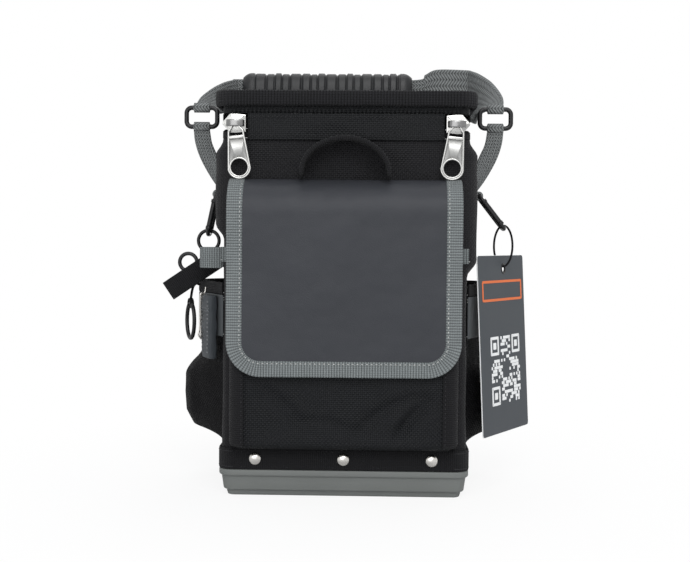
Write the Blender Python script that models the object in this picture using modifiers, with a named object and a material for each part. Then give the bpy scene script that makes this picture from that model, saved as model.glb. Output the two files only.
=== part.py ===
"""A tool pouch with a moulded base, a zipped lid, a front flap, side pockets and a carry handle.

Lengths are in metres. +Z is up, the front of the pouch faces -Y, and the origin is the
centre of the underside of the base. Each physical piece is one object, and a moving
piece is parented to an empty on its joint axis.
"""
import math

import bmesh
import bpy
from mathutils import Euler, Matrix, Vector

# Fits and walls that several pieces share
SEAM_GAP = 0.0003
OVERRUN = 0.002
CLOTH = 0.0025
WEBBING = 0.0030
WELD = 0.00001
ROD_SIDES = 12
EYE_SIDES = 10

# Body shell
BODY_HALF_WIDTH = 0.098
BODY_HALF_DEPTH = 0.065
BODY_CORNER = 0.010
BODY_TOP = 0.285
CORNER_STEPS = 4

# Moulded base
BASE_RIM = 0.022
BASE_RIM_STEP = 0.002
BASE_FOOT_INSET = 0.0065
BASE_FOOT_ROUND = 0.0025
BASE_STEP_HEIGHT = 0.0045
BASE_STEP = 0.0015
BASE_LEDGE_HEIGHT = 0.0165
BASE_LEDGE = 0.0020
BASE_FLOOR = 0.003
BASE_WALL = 0.0022
BASE_UPSTAND_TOP = 0.040

# Webbing skirt and rivets
SKIRT_THICK = 0.002
SKIRT_TOP = 0.039
RIVET_HEIGHT = 0.031
RIVET_SPACING = 0.070
RIVET_HEAD_RADIUS = 0.0047
RIVET_DOME = 0.0022
RIVET_SHANK_RADIUS = 0.0018
RIVET_STEPS = 12
# How far out and how far up the dome passes, as shares of its radius and rise.
RIVET_DOME_SHARES = ((0.55, 0.84), (0.88, 0.48))

# Front pocket and its binding
POCKET_INSET = 0.010
POCKET_HALF_WIDTH = BODY_HALF_WIDTH - POCKET_INSET
POCKET_REACH = 0.0195
POCKET_FOOT = 0.041
POCKET_TOP = 0.199
POCKET_CORNER = 0.009
POCKET_BINDING = 0.012
POCKET_BINDING_THICK = 0.0015

# Front flap
FLAP_OVERHANG = 0.003
FLAP_HALF_WIDTH = POCKET_HALF_WIDTH + FLAP_OVERHANG
FLAP_HINGE_HEIGHT = 0.2255
FLAP_BOTTOM = 0.099
FLAP_ROOT_OUT = 0.0003
FLAP_SHOULDER_DROP = 0.026
FLAP_SHOULDER_STEPS = 6
FLAP_THICK = 0.0022
FLAP_BINDING = 0.0124
FLAP_BINDING_THICK = 0.0034
FLAP_CORNER = 0.027
PATCH_HALF_WIDTH = 0.030
PATCH_HEIGHT = 0.025
PATCH_THICK = 0.0012
PATCH_LOW = 0.120
FLAP_OUT = (
    SEAM_GAP + POCKET_REACH + SEAM_GAP + PATCH_THICK + SEAM_GAP
    + PATCH_THICK + SEAM_GAP + FLAP_THICK / 2
)

# Hanging loop above the flap
LOOP_HALF_SPAN = 0.034
LOOP_FOOT = 0.2548
LOOP_RISE = 0.0325
LOOP_DEPTH = 0.020
LOOP_THICK = 0.0032
LOOP_STEPS = 12

# Lid, its zip and the fabric hinge at the front
HINGE_HEIGHT = 0.296
HINGE_OUT = 0.0045
STRIP_INSET = 0.0215
STRIP_HALF_WIDTH = BODY_HALF_WIDTH - STRIP_INSET
STRIP_OUT = 0.0023
COIL_HEIGHT = 0.0055
COIL_OUT = 0.0012
COIL_IN = 0.0026
COIL_MOUTH = 0.0078
LID_RISE = 0.0145
LID_PANEL = 0.0025
LID_ROUND = 0.003
BINDING_LOW_LIFT = 0.0055
BINDING_OUT = 0.0056
BINDING_HEIGHT = 0.0125
BINDING_ROUND = 0.0022

# Zip sliders and pulls
SLIDER_STAND_OFF = 0.0025
SLIDER_INNER = STRIP_HALF_WIDTH + SLIDER_STAND_OFF
SLIDER_LENGTH = 0.0200
SLIDER_HALF_HEIGHT = 0.0082
SLIDER_GAP = 0.0006
SLIDER_PLATE = 0.0026
BRIDGE_HALF_HEIGHT = 0.0026
BRIDGE_LENGTH = 0.0135
BRIDGE_EDGE = 0.0010
BRIDGE_POST = 0.0032
PIN_RADIUS = 0.0011
PULL_THICK = 0.0016
PULL_EYE_RADIUS = 0.0026
PULL_EYE_LENGTH = 0.0064
PULL_SHOULDER_HALF = 0.0064
PULL_SHOULDER_DROP = 0.0058
PULL_HOLE_RADIUS = 0.0065
PULL_END_RADIUS = 0.0092
PULL_LENGTH = 0.044
PULL_STEPS = 10

# Handle, with the webbing looped through a ring on each side
PIVOT_BACK = 0.003
PIVOT_RISE = 0.031
PIVOT_HEIGHT = BODY_TOP + PIVOT_RISE
RING_OUT = 0.0260
RING_BAR = 0.0260
RING_HEIGHT = 0.0160
RING_WIRE = 0.0020
RING_CORNER = 0.0045
EYE_LENGTH = 0.0150
EYE_STRAP = 0.0138
EYE_GAP = 0.0003
EYE_WALL = 0.0018
EYE_REACH = RING_WIRE + EYE_GAP + EYE_WALL / 2
HANDLE_BACK = 0.0190
HANDLE_RISE = 0.022
HANDLE_HEIGHT = PIVOT_HEIGHT + HANDLE_RISE
HANDLE_WEB = 0.0035
HANDLE_WIDE = 0.046
HANDLE_NARROW = 0.027
GRIP_LEFT = 0.098
GRIP_RIGHT = 0.056
GRIP_HALF_HEIGHT = 0.0190
GRIP_HALF_DEPTH = 0.0115
GRIP_BANDS = 16
GRIP_GROOVE = 0.0012
GRIP_CAP = 0.012
GRIP_CAP_DRAW = 0.0035
GROOVE_SHARE = 0.22
GRIP_SIDES = 12

# Side webbing tabs that hold the rings and hooks
TAB_DROP = 0.089
TAB_FOOT = BODY_TOP - TAB_DROP
TAB_SEWN = 0.032
TAB_FOOT_WIDTH = 0.025
HOOK_EYE_OUT = 0.0125
HOOK_EYE_RISE = 0.047
HOOK_EYE_LENGTH = 0.009
HOOK_WIRE = 0.0017

# Snap hooks, elastic string, tag and the small ring
HOOK_HALF_WIDTH = 0.0090
HOOK_LENGTH = 0.0350
HOOK_SLANT_DEG = 38.0
LEFT_SLANT_DEG = 12.0
HOOK_CORNER = 0.0035
STRING_WIRE = 0.0009
STRING_LENGTH = 0.0345
STRING_HALF_WIDTH = 0.0078
STRING_STEPS = 20
TAG_WIDTH = 0.090
TAG_HEIGHT = 0.148
TAG_THICK = 0.0009
TAG_HOLE_RADIUS = 0.0030
TAG_HOLE_DROP = 0.0110
TAG_TURN_DEG = 59.0
TAG_LEAN_DEG = 3.0
TAG_HOLE_SHARE = 0.55
SMALL_RING_RADIUS = 0.0088
SMALL_RING_WIRE = 0.0015
SMALL_RING_STEPS = 20

# Side pockets
SIDE_FOOT = SKIRT_TOP + SEAM_GAP
SIDE_TOP = 0.170
SIDE_WALL = 0.0022
SIDE_FRONT = 0.044
SIDE_BACK = 0.055
SIDE_BULGE = 0.043
SIDE_SLIM = 0.028
RIGHT_BULGE_SHARE = 0.88
SIDE_BINDING = 0.010
SIDE_BINDING_THICK = 0.0014
SIDE_PATCH_HEIGHT = 0.034
SIDE_PATCH_THICK = 0.0012

# Fittings on the left side
MOUNT_WIDTH = 0.020
MOUNT_THICK = 0.0080
MOUNT_LOW = 0.113
MOUNT_HEIGHT = 0.046
MOUNT_ALONG = 0.021
MOUNT_ROUND = 0.0015
PLATE_THICK = 0.0012
PLATE_HEIGHT = 0.036
PLATE_RISE = 0.002
TAPE_STRAP_WIDTH = 0.0170
TAPE_STRAP_LENGTH = 0.056
TAPE_STRAP_THICK = 0.0060
TAPE_STRAP_TURN_DEG = 34.0
TAPE_STRAP_RISE = 0.0135
TAPE_STRAP_HEIGHT = SIDE_TOP + TAPE_STRAP_WIDTH / 2 + TAPE_STRAP_RISE
TAPE_STRAP_FRONT = 0.014
TAPE_RING_RADIUS = 0.0072
TAPE_RING_WIRE = 0.0016
TAPE_RING_RISE = 0.0025
TAPE_RING_ALONG_SHARE = 0.50
TOOL_LOOP_RISE = 0.0115
TOOL_LOOP_LOW = SIDE_TOP + TOOL_LOOP_RISE
TOOL_LOOP_HEIGHT = 0.017
TOOL_LOOP_OUT = 0.020
TOOL_LOOP_FRONT = 0.050
TOOL_LOOP_LENGTH = 0.030
KEY_RING_HALF_HEIGHT = 0.0150
KEY_RING_HALF_WIDTH = 0.0095
KEY_RING_WIRE = 0.0017
KEY_RING_HEIGHT = 0.135
KEY_RING_OUT = 0.0355
KEY_RING_BACK = 0.006
KEY_RING_TURN_DEG = 62.0
KEY_EYE_LENGTH = 0.0040
KEY_EYE_SLACK = 0.0010
KEY_ARM_HALF = 0.0012
KEY_RING_STEPS = 20

# Belt clip at the back
CLIP_PLATE_HALF_WIDTH = 0.032
CLIP_PLATE_LOW = 0.185
CLIP_PLATE_HEIGHT = 0.072
CLIP_PLATE_THICK = 0.0025
CLIP_HALF_WIDTH = 0.025
CLIP_STEEL = 0.0025
CLIP_SLOT = 0.0090
CLIP_DROP = 0.082
CLIP_HEAD = 0.022
CLIP_BEND = 0.0045
SCREW_SPACING = 0.026
SCREW_HEIGHT = 0.246
SCREW_HEAD_RADIUS = 0.0040
SCREW_HEAD = 0.0016
# How much of the head's radius its flat top takes, as a share.
SCREW_FLAT_SHARE = 0.8
SCREW_SHANK_RADIUS = 0.0018

# Inside
DIVIDER_BACK = 0.016
DIVIDER_TOP = 0.250
DIVIDER_THICK = 0.0028
SLEEVE_HALF_WIDTH = 0.060
SLEEVE_LOW = 0.075
SLEEVE_HEIGHT = 0.105
SLEEVE_REACH = 0.022

# Shares chosen by hand for the side pockets: the outline seen from above, then the
# heights at which it is drawn and how far it stands out there
PLAN_BACK_SHARES = (-1.0, -0.59, -0.18, 0.14, 0.36, 0.69, 0.93, 1.0)
SLIM_OUT_SHARES = (0.0, 0.32, 0.64, 0.93, 1.0, 0.86, 0.45, 0.0)
FULL_OUT_SHARES = (0.0, 0.36, 0.67, 0.93, 1.0, 0.86, 0.45, 0.0)
LEVEL_HEIGHT_SHARES = (0.0, 0.015, 0.05, 0.14, 0.26, 0.38, 0.47, 0.55, 0.77, 1.0)
LEVEL_FULL_SHARES = (1.0, 1.0, 1.0, 1.0, 1.0, 0.95, 0.5, 0.0, 0.0, 0.0)
LEVEL_REACH_SHARES = (0.0, 0.3, 0.78, 0.95, 1.0, 1.0, 1.0, 1.0, 1.0, 1.0)

# Shares chosen by hand for the side tab above its seam: rise, reach outwards, turn
TAB_SHARES = (
    (0.18, 0.14, 0.05),
    (0.42, 0.44, 0.35),
    (0.65, 0.72, 0.70),
    (0.84, 0.93, 0.95),
    (1.0, 1.0, 1.0),
)

# Shares chosen by hand for a handle arm, from the ring to the rear corner: run backwards,
# distance from the middle, rise, turn
ARM_SHARES = (
    (0.0, 1.0, 0.0, 0.0),
    (0.11, 0.997, 0.10, 0.08),
    (0.30, 0.980, 0.28, 0.42),
    (0.53, 0.950, 0.50, 0.75),
    (0.73, 0.918, 0.72, 0.95),
    (0.88, 0.885, 0.88, 1.0),
    (0.97, 0.845, 0.97, 1.0),
)

# Colour, roughness and metallic value of each finish
FINISHES = {
    "black_nylon": ((0.010, 0.010, 0.011), 0.90, 0.0),
    "pocket_nylon": ((0.016, 0.017, 0.019), 0.90, 0.0),
    "black_webbing": ((0.009, 0.009, 0.010), 0.85, 0.0),
    "grey_webbing": ((0.100, 0.104, 0.104), 0.88, 0.0),
    "handle_webbing": ((0.095, 0.100, 0.100), 0.90, 0.0),
    "grey_vinyl": ((0.070, 0.074, 0.080), 0.50, 0.0),
    "base_plastic": ((0.160, 0.166, 0.160), 0.55, 0.0),
    "black_rubber": ((0.045, 0.047, 0.050), 0.60, 0.0),
    "black_metal": ((0.010, 0.010, 0.010), 0.40, 0.6),
    "nickel": ((0.600, 0.580, 0.550), 0.28, 1.0),
    "zip_metal": ((0.750, 0.750, 0.740), 0.25, 1.0),
    "steel": ((0.550, 0.550, 0.560), 0.30, 1.0),
    "zip_coil": ((0.008, 0.008, 0.009), 0.50, 0.0),
    "tag_card": ((0.075, 0.082, 0.090), 0.60, 0.0),
    "string": ((0.008, 0.008, 0.008), 0.70, 0.0),
}


def clear_scene():
    """Remove every object that is already in the file."""
    for old in list(bpy.data.objects):
        bpy.data.objects.remove(old, do_unlink=True)


def new_collection(name):
    """Add a collection to the scene and return it."""
    made = bpy.data.collections.new(name)
    bpy.context.scene.collection.children.link(made)
    return made


def new_material(name):
    """A Principled material with the finish's colour, roughness and metallic value."""
    colour, roughness, metallic = FINISHES[name]
    made = bpy.data.materials.new(name)
    made.use_nodes = True
    shader = made.node_tree.nodes["Principled BSDF"]
    shader.inputs["Base Color"].default_value = (*colour, 1.0)
    shader.inputs["Roughness"].default_value = roughness
    shader.inputs["Metallic"].default_value = metallic
    return made


clear_scene()
POUCH = new_collection("tool_pouch")
CUTTERS = new_collection("cutters")
MATERIALS = {name: new_material(name) for name in FINISHES}


def move_to(obj, collection):
    """Keep an object in one collection only."""
    for old in list(obj.users_collection):
        old.objects.unlink(obj)
    collection.objects.link(obj)


def dress(obj, name, finish):
    """Name a finished piece, give it its material and put it in the pouch's collection."""
    obj.name = name
    obj.data.name = name
    move_to(obj, POUCH)
    obj.data.materials.clear()
    obj.data.materials.append(MATERIALS[finish])
    return obj


def as_cutter(obj, name):
    """Make an object a cutter: hidden in renders and drawn as wire."""
    obj.name = name
    move_to(obj, CUTTERS)
    obj.hide_render = True
    obj.display_type = "WIRE"
    return obj


def combine(obj, other, operation="DIFFERENCE"):
    """Add a Boolean modifier that cuts another object out of a piece, or joins it on."""
    boolean = obj.modifiers.new(operation.lower(), "BOOLEAN")
    boolean.operation = operation
    boolean.solver = "EXACT"
    boolean.object = other
    return obj


def mesh_object(name, bm):
    """Turn a bmesh into an object with its faces pointing outwards."""
    bmesh.ops.recalc_face_normals(bm, faces=bm.faces)
    mesh = bpy.data.meshes.new(name)
    bm.to_mesh(mesh)
    bm.free()
    obj = bpy.data.objects.new(name, mesh)
    POUCH.objects.link(obj)
    return obj


def block(low, high):
    """A box between two corners, from a cube primitive with its scale applied."""
    low, high = Vector(low), Vector(high)
    bpy.ops.mesh.primitive_cube_add(size=1, location=(low + high) / 2)
    obj = bpy.context.object
    obj.scale = high - low
    bpy.ops.object.transform_apply(location=False, rotation=False, scale=True)
    return obj


def rod(radius, length, centre, along, sides=ROD_SIDES):
    """A cylinder primitive centred on a point, lying along X, Y or Z."""
    turn = {
        "X": (0, math.radians(90), 0),
        "Y": (math.radians(90), 0, 0),
        "Z": (0, 0, 0),
    }[along]
    bpy.ops.mesh.primitive_cylinder_add(
        vertices=sides, radius=radius, depth=length, location=centre, rotation=turn
    )
    return bpy.context.object


def soften(obj, width, segments=1):
    """Round a piece's edges with a Bevel modifier."""
    bevel = obj.modifiers.new("rounded_edges", "BEVEL")
    bevel.width = width
    bevel.segments = segments
    bevel.limit_method = "ANGLE"
    return obj


def mitred(points, closed):
    """Outward normals of a path seen from above, stretched at corners to keep the width."""
    count = len(points)
    spans = []
    for index in range(count):
        after = points[(index + 1) % count]
        step = Vector((after[0] - points[index][0], after[1] - points[index][1]))
        spans.append(Vector((step.y, -step.x)).normalized())
    normals = []
    for index in range(count):
        before, here = spans[index - 1], spans[index]
        if not closed and index == 0:
            before = here
        if not closed and index == count - 1:
            here = before
        normals.append((before + here) / (1 + before.dot(here)))
    return normals


def carry(points, section, closed_path=True, closed_section=True, end_degs=None):
    """Carry a section of (outward, height) pairs along a path seen from above.

    An open path or an open section ends in flat caps, so the result is always closed.
    Two angles can set the directions in which the caps of an open path lie.
    """
    bm = bmesh.new()
    rows = []
    normals = mitred(points, closed_path)
    if end_degs:
        for index, end in zip((0, -1), end_degs):
            angle = math.radians(end)
            normals[index] = Vector((math.cos(angle), math.sin(angle)))
    for point, normal in zip(points, normals):
        rows.append([
            bm.verts.new((point[0] + normal.x * out, point[1] + normal.y * out, height))
            for out, height in section
        ])
    spans = len(rows) if closed_path else len(rows) - 1
    edges = len(section) if closed_section else len(section) - 1
    for i in range(spans):
        here, there = rows[i], rows[(i + 1) % len(rows)]
        for j in range(edges):
            k = (j + 1) % len(section)
            bm.faces.new((here[j], there[j], there[k], here[k]))
    if not closed_path:
        bm.faces.new(rows[0])
        bm.faces.new(rows[-1])
    if not closed_section:
        bm.faces.new([row[0] for row in rows])
        bm.faces.new([row[-1] for row in rows])
    return mesh_object("carried", bm)


def bar_section(out_low, out_high, low, high):
    """The four corners of an upright bar's section."""
    return [(out_low, low), (out_high, low), (out_high, high), (out_low, high)]


def corner_points(centre, radius, start_deg, end_deg, steps=CORNER_STEPS):
    """Points on an arc seen from above."""
    points = []
    for step in range(steps + 1):
        angle = math.radians(start_deg + (end_deg - start_deg) * step / steps)
        points.append((
            centre[0] + radius * math.cos(angle),
            centre[1] + radius * math.sin(angle),
        ))
    return points


def round_plan(half_x, half_y, radius, middle_y=0.0):
    """A rounded rectangle seen from above, anticlockwise."""
    points = []
    for sign_x, sign_y, start in ((1, 1, 0), (-1, 1, 90), (-1, -1, 180), (1, -1, 270)):
        centre = (sign_x * (half_x - radius), middle_y + sign_y * (half_y - radius))
        points += corner_points(centre, radius, start, start + 90)
    return points


def sheet_between(outer, inner):
    """A closed wall between two grids of points that match row for row."""
    bm = bmesh.new()
    skins = []
    for grid in (outer, inner):
        skins.append([[bm.verts.new(point) for point in row] for row in grid])
    last_row, last_column = len(outer) - 1, len(outer[0]) - 1
    for skin in skins:
        for i in range(last_row):
            for j in range(last_column):
                bm.faces.new((skin[i][j], skin[i][j + 1], skin[i + 1][j + 1], skin[i + 1][j]))
    out, into = skins
    for i in range(last_row):
        for j in (0, last_column):
            bm.faces.new((out[i][j], out[i + 1][j], into[i + 1][j], into[i][j]))
    for j in range(last_column):
        for i in (0, last_row):
            bm.faces.new((out[i][j], out[i][j + 1], into[i][j + 1], into[i][j]))
    return mesh_object("sheet", bm)


def ribbon(stations, thickness):
    """Webbing through stations of (centre, half width): a strip thickened by Solidify."""
    bm = bmesh.new()
    rows = []
    for centre, half in stations:
        centre, half = Vector(centre), Vector(half)
        rows.append((bm.verts.new(centre - half), bm.verts.new(centre + half)))
    for here, there in zip(rows, rows[1:]):
        bm.faces.new((here[0], here[1], there[1], there[0]))
    obj = mesh_object("ribbon", bm)
    solid = obj.modifiers.new("thickness", "SOLIDIFY")
    solid.thickness = thickness
    solid.offset = 0.0
    return obj


def wire(points, radius, turn, place, resolution=1):
    """A closed loop of wire: a cyclic curve with a bevel depth, turned and placed."""
    curve = bpy.data.curves.new("wire", "CURVE")
    curve.dimensions = "3D"
    curve.bevel_depth = radius
    curve.bevel_resolution = resolution
    spline = curve.splines.new("POLY")
    spline.points.add(len(points) - 1)
    for slot, point in zip(spline.points, points):
        slot.co = (point[0], point[1], 0, 1)
    spline.use_cyclic_u = True
    obj = bpy.data.objects.new("wire", curve)
    obj.matrix_world = Matrix.Translation(Vector(place)) @ turn.to_4x4()
    POUCH.objects.link(obj)
    return obj


def plate(outlines, thickness, turn, place):
    """A flat outline with any holes: a filled 2D curve, extruded, turned and placed."""
    curve = bpy.data.curves.new("plate", "CURVE")
    curve.dimensions = "2D"
    curve.fill_mode = "BOTH"
    curve.extrude = thickness / 2
    for outline in outlines:
        spline = curve.splines.new("POLY")
        spline.points.add(len(outline) - 1)
        for slot, point in zip(spline.points, outline):
            slot.co = (point[0], point[1], 0, 1)
        spline.use_cyclic_u = True
    obj = bpy.data.objects.new("plate", curve)
    obj.matrix_world = Matrix.Translation(Vector(place)) @ turn.to_4x4()
    POUCH.objects.link(obj)
    return obj


def meshed(curve_object):
    """Replace a curve by the mesh it makes, with its caps welded, so it can be cut."""
    bpy.context.view_layer.update()
    evaluated = curve_object.evaluated_get(bpy.context.evaluated_depsgraph_get())
    mesh = bpy.data.meshes.new_from_object(evaluated)
    bm = bmesh.new()
    bm.from_mesh(mesh)
    bmesh.ops.remove_doubles(bm, verts=bm.verts, dist=WELD)
    bmesh.ops.recalc_face_normals(bm, faces=bm.faces)
    bm.to_mesh(mesh)
    bm.free()
    obj = bpy.data.objects.new("meshed", mesh)
    obj.matrix_world = curve_object.matrix_world
    POUCH.objects.link(obj)
    bpy.data.objects.remove(curve_object, do_unlink=True)
    return obj


def thick_line(points, thickness):
    """The closed outline of a bent strip: a path drawn with a width."""
    normals = mitred(points, False)
    half = thickness / 2
    outer = [(p[0] + n.x * half, p[1] + n.y * half) for p, n in zip(points, normals)]
    inner = [(p[0] - n.x * half, p[1] - n.y * half) for p, n in zip(points, normals)]
    return outer + inner[::-1]


def turned(profile, steps, turn, place):
    """A turned piece: a profile of (radius, height) pairs with a Screw modifier."""
    bm = bmesh.new()
    dots = [bm.verts.new((radius, 0, height)) for radius, height in profile]
    for here, there in zip(dots, dots[1:]):
        bm.edges.new((here, there))
    mesh = bpy.data.meshes.new("turned")
    bm.to_mesh(mesh)
    bm.free()
    obj = bpy.data.objects.new("turned", mesh)
    POUCH.objects.link(obj)
    screw = obj.modifiers.new("turn", "SCREW")
    screw.steps = steps
    screw.render_steps = steps
    screw.use_merge_vertices = True
    screw.merge_threshold = WELD
    obj.matrix_world = Matrix.Translation(Vector(place)) @ turn.to_4x4()
    return obj


def turn_by(x_deg=0, y_deg=0, z_deg=0):
    """A rotation from three angles in degrees."""
    angles = [math.radians(value) for value in (x_deg, y_deg, z_deg)]
    return Euler(angles).to_matrix()


def pivot(name, place, pieces):
    """An empty on a joint's axis that carries the pieces which move there."""
    empty = bpy.data.objects.new(name, None)
    empty.location = place
    POUCH.objects.link(empty)
    for piece in pieces:
        piece.parent = empty
        piece.matrix_parent_inverse = Matrix.Translation(Vector(place)).inverted()
    return empty


FACING_FRONT = turn_by(x_deg=90)
FACING_BACK = turn_by(x_deg=-90)
STANDING_SIDEWAYS = Matrix(((0, 0, 1), (1, 0, 0), (0, 1, 0)))


def rivet_holes():
    """One cutter with a hole for each rivet, through skirt, panel and base upstand."""
    bm = bmesh.new()
    radius = RIVET_SHANK_RADIUS + 2 * SEAM_GAP
    length = 2 * (SKIRT_THICK + CLOTH + BASE_WALL + OVERRUN)
    for side in (-1, 1):
        for place in (-RIVET_SPACING, 0, RIVET_SPACING):
            matrix = Matrix.Translation((place, side * BODY_HALF_DEPTH, RIVET_HEIGHT))
            matrix = matrix @ FACING_FRONT.to_4x4()
            bmesh.ops.create_cone(
                bm, cap_ends=True, segments=8, radius1=radius, radius2=radius,
                depth=length, matrix=matrix,
            )
    return as_cutter(mesh_object("holes", bm), "rivet_holes")


def build_base():
    """Moulded tray with a stepped outside and an upstand inside the body panels."""
    half_x = BODY_HALF_WIDTH + BASE_RIM_STEP
    half_y = BODY_HALF_DEPTH + BASE_RIM_STEP
    upstand = -(BASE_RIM_STEP + CLOTH + SEAM_GAP)
    inside = upstand - BASE_WALL
    section = [
        (-BASE_FOOT_INSET - BASE_FOOT_ROUND, 0),
        (-BASE_FOOT_INSET, BASE_FOOT_ROUND),
        (-BASE_FOOT_INSET + BASE_STEP / 2, BASE_STEP_HEIGHT),
        (-BASE_FOOT_INSET + BASE_STEP * 2, BASE_STEP_HEIGHT + BASE_STEP / 2),
        (-BASE_LEDGE, BASE_LEDGE_HEIGHT),
        (0, BASE_LEDGE_HEIGHT + BASE_STEP),
        (0, BASE_RIM),
        (upstand, BASE_RIM),
        (upstand, BASE_UPSTAND_TOP),
        (inside, BASE_UPSTAND_TOP),
        (inside, BASE_RIM),
        (-BASE_FOOT_INSET - BASE_WALL, BASE_FLOOR),
    ]
    plan = round_plan(half_x, half_y, BODY_CORNER + BASE_RIM_STEP)
    tray = carry(plan, section, closed_section=False)
    return dress(combine(tray, HOLES), "base_tray", "base_plastic")


def build_skirt():
    """Webbing band riveted round the foot of the body, and its domed rivets."""
    plan = round_plan(BODY_HALF_WIDTH, BODY_HALF_DEPTH, BODY_CORNER)
    out = SEAM_GAP + SKIRT_THICK
    section = bar_section(SEAM_GAP, out, BASE_RIM + SEAM_GAP, SKIRT_TOP)
    dress(combine(carry(plan, section), HOLES), "skirt_band", "black_webbing")
    depth = out + SEAM_GAP + CLOTH + SEAM_GAP + BASE_WALL + SEAM_GAP
    profile = [
        (0, RIVET_DOME),
        *((RIVET_HEAD_RADIUS * out, RIVET_DOME * up) for out, up in RIVET_DOME_SHARES),
        (RIVET_HEAD_RADIUS, 0),
        (RIVET_SHANK_RADIUS, 0),
        (RIVET_SHANK_RADIUS, -depth),
        (RIVET_HEAD_RADIUS, -depth),
        (RIVET_HEAD_RADIUS, -depth - SEAM_GAP - SKIRT_THICK / 2),
        (0, -depth - SEAM_GAP - SKIRT_THICK / 2),
    ]
    seat = BODY_HALF_DEPTH + out + SEAM_GAP
    for face, side, facing in (("front", -1, FACING_FRONT), ("back", 1, FACING_BACK)):
        for word, place in (("left", -RIVET_SPACING), ("centre", 0), ("right", RIVET_SPACING)):
            centre = (place, side * seat, RIVET_HEIGHT)
            rivet = turned(profile, RIVET_STEPS, facing, centre)
            dress(rivet, f"rivet_{face}_{word}", "nickel")


def build_panels():
    """Front, back, left and right body panels, meeting at the middle of each corner."""
    half_x, half_y = BODY_HALF_WIDTH, BODY_HALF_DEPTH
    middle_x, middle_y = half_x - BODY_CORNER, half_y - BODY_CORNER
    gap_deg = math.degrees(SEAM_GAP / BODY_CORNER)
    corners = {
        "front": ((-1, -1, 225, 270), (1, -1, 270, 315)),
        "right": ((1, -1, 315, 360), (1, 1, 0, 45)),
        "back": ((1, 1, 45, 90), (-1, 1, 90, 135)),
        "left": ((-1, 1, 135, 180), (-1, -1, 180, 225)),
    }
    section = bar_section(-CLOTH, 0, BASE_RIM + SEAM_GAP, BODY_TOP)
    for side, (first, last) in corners.items():
        path = corner_points(
            (first[0] * middle_x, first[1] * middle_y), BODY_CORNER,
            first[2] + gap_deg, first[3], 2,
        )
        path += corner_points(
            (last[0] * middle_x, last[1] * middle_y), BODY_CORNER,
            last[2], last[3] - gap_deg, 2,
        )
        ends = (first[2], last[3])
        panel = carry(path, section, closed_path=False, end_degs=ends)
        if side in ("front", "back"):
            combine(panel, HOLES)
        if side == "back":
            combine(panel, SCREW_HOLES)
        dress(panel, f"{side}_panel", "black_nylon")


def tub(half_x, reach, low, high, back, corner):
    """An open-topped fabric pocket whose back wall lies against what it is sewn to."""
    half_y = reach / 2
    section = [
        (-2 * CLOTH, low),
        (0, low + 2 * CLOTH),
        (0, high),
        (-CLOTH, high),
        (-CLOTH, low + 3 * CLOTH),
        (-2 * CLOTH, low + CLOTH),
    ]
    plan = round_plan(half_x, half_y, corner, middle_y=back - half_y)
    return carry(plan, section, closed_section=False)


def build_front_pocket():
    """Front pocket, the grey band round its mouth and its hook patch."""
    back = -(BODY_HALF_DEPTH + SEAM_GAP)
    pocket = tub(POCKET_HALF_WIDTH, POCKET_REACH, POCKET_FOOT, POCKET_TOP, back, POCKET_CORNER)
    dress(pocket, "front_pocket", "pocket_nylon")
    seam = BODY_HALF_WIDTH - SEAM_GAP
    out = back - POCKET_REACH
    inner = POCKET_HALF_WIDTH - POCKET_CORNER
    path = [(-seam, back), (-POCKET_HALF_WIDTH - 2 * POCKET_BINDING_THICK, back)]
    path += corner_points((-inner, out + POCKET_CORNER), POCKET_CORNER, 180, 270)
    path += corner_points((inner, out + POCKET_CORNER), POCKET_CORNER, 270, 360)
    path += [(POCKET_HALF_WIDTH + 2 * POCKET_BINDING_THICK, back), (seam, back)]
    section = bar_section(
        SEAM_GAP, SEAM_GAP + POCKET_BINDING_THICK, POCKET_TOP - POCKET_BINDING, POCKET_TOP
    )
    band = carry(path, section, closed_path=False)
    dress(band, "front_pocket_binding", "grey_webbing")
    patch = block(
        (-PATCH_HALF_WIDTH, out - SEAM_GAP - PATCH_THICK, PATCH_LOW),
        (PATCH_HALF_WIDTH, out - SEAM_GAP, PATCH_LOW + PATCH_HEIGHT),
    )
    dress(patch, "hook_patch", "black_nylon")


def flap_path(lift):
    """The flap's side view as (outward, height) points, shoulder first, shifted by lift."""
    points = []
    for step in range(FLAP_SHOULDER_STEPS + 1):
        angle = math.radians(90 * step / FLAP_SHOULDER_STEPS)
        points.append((
            FLAP_ROOT_OUT + (FLAP_OUT - FLAP_ROOT_OUT + lift) * math.sin(angle),
            FLAP_HINGE_HEIGHT + (FLAP_SHOULDER_DROP + lift) * math.cos(angle),
        ))
    return points


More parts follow.
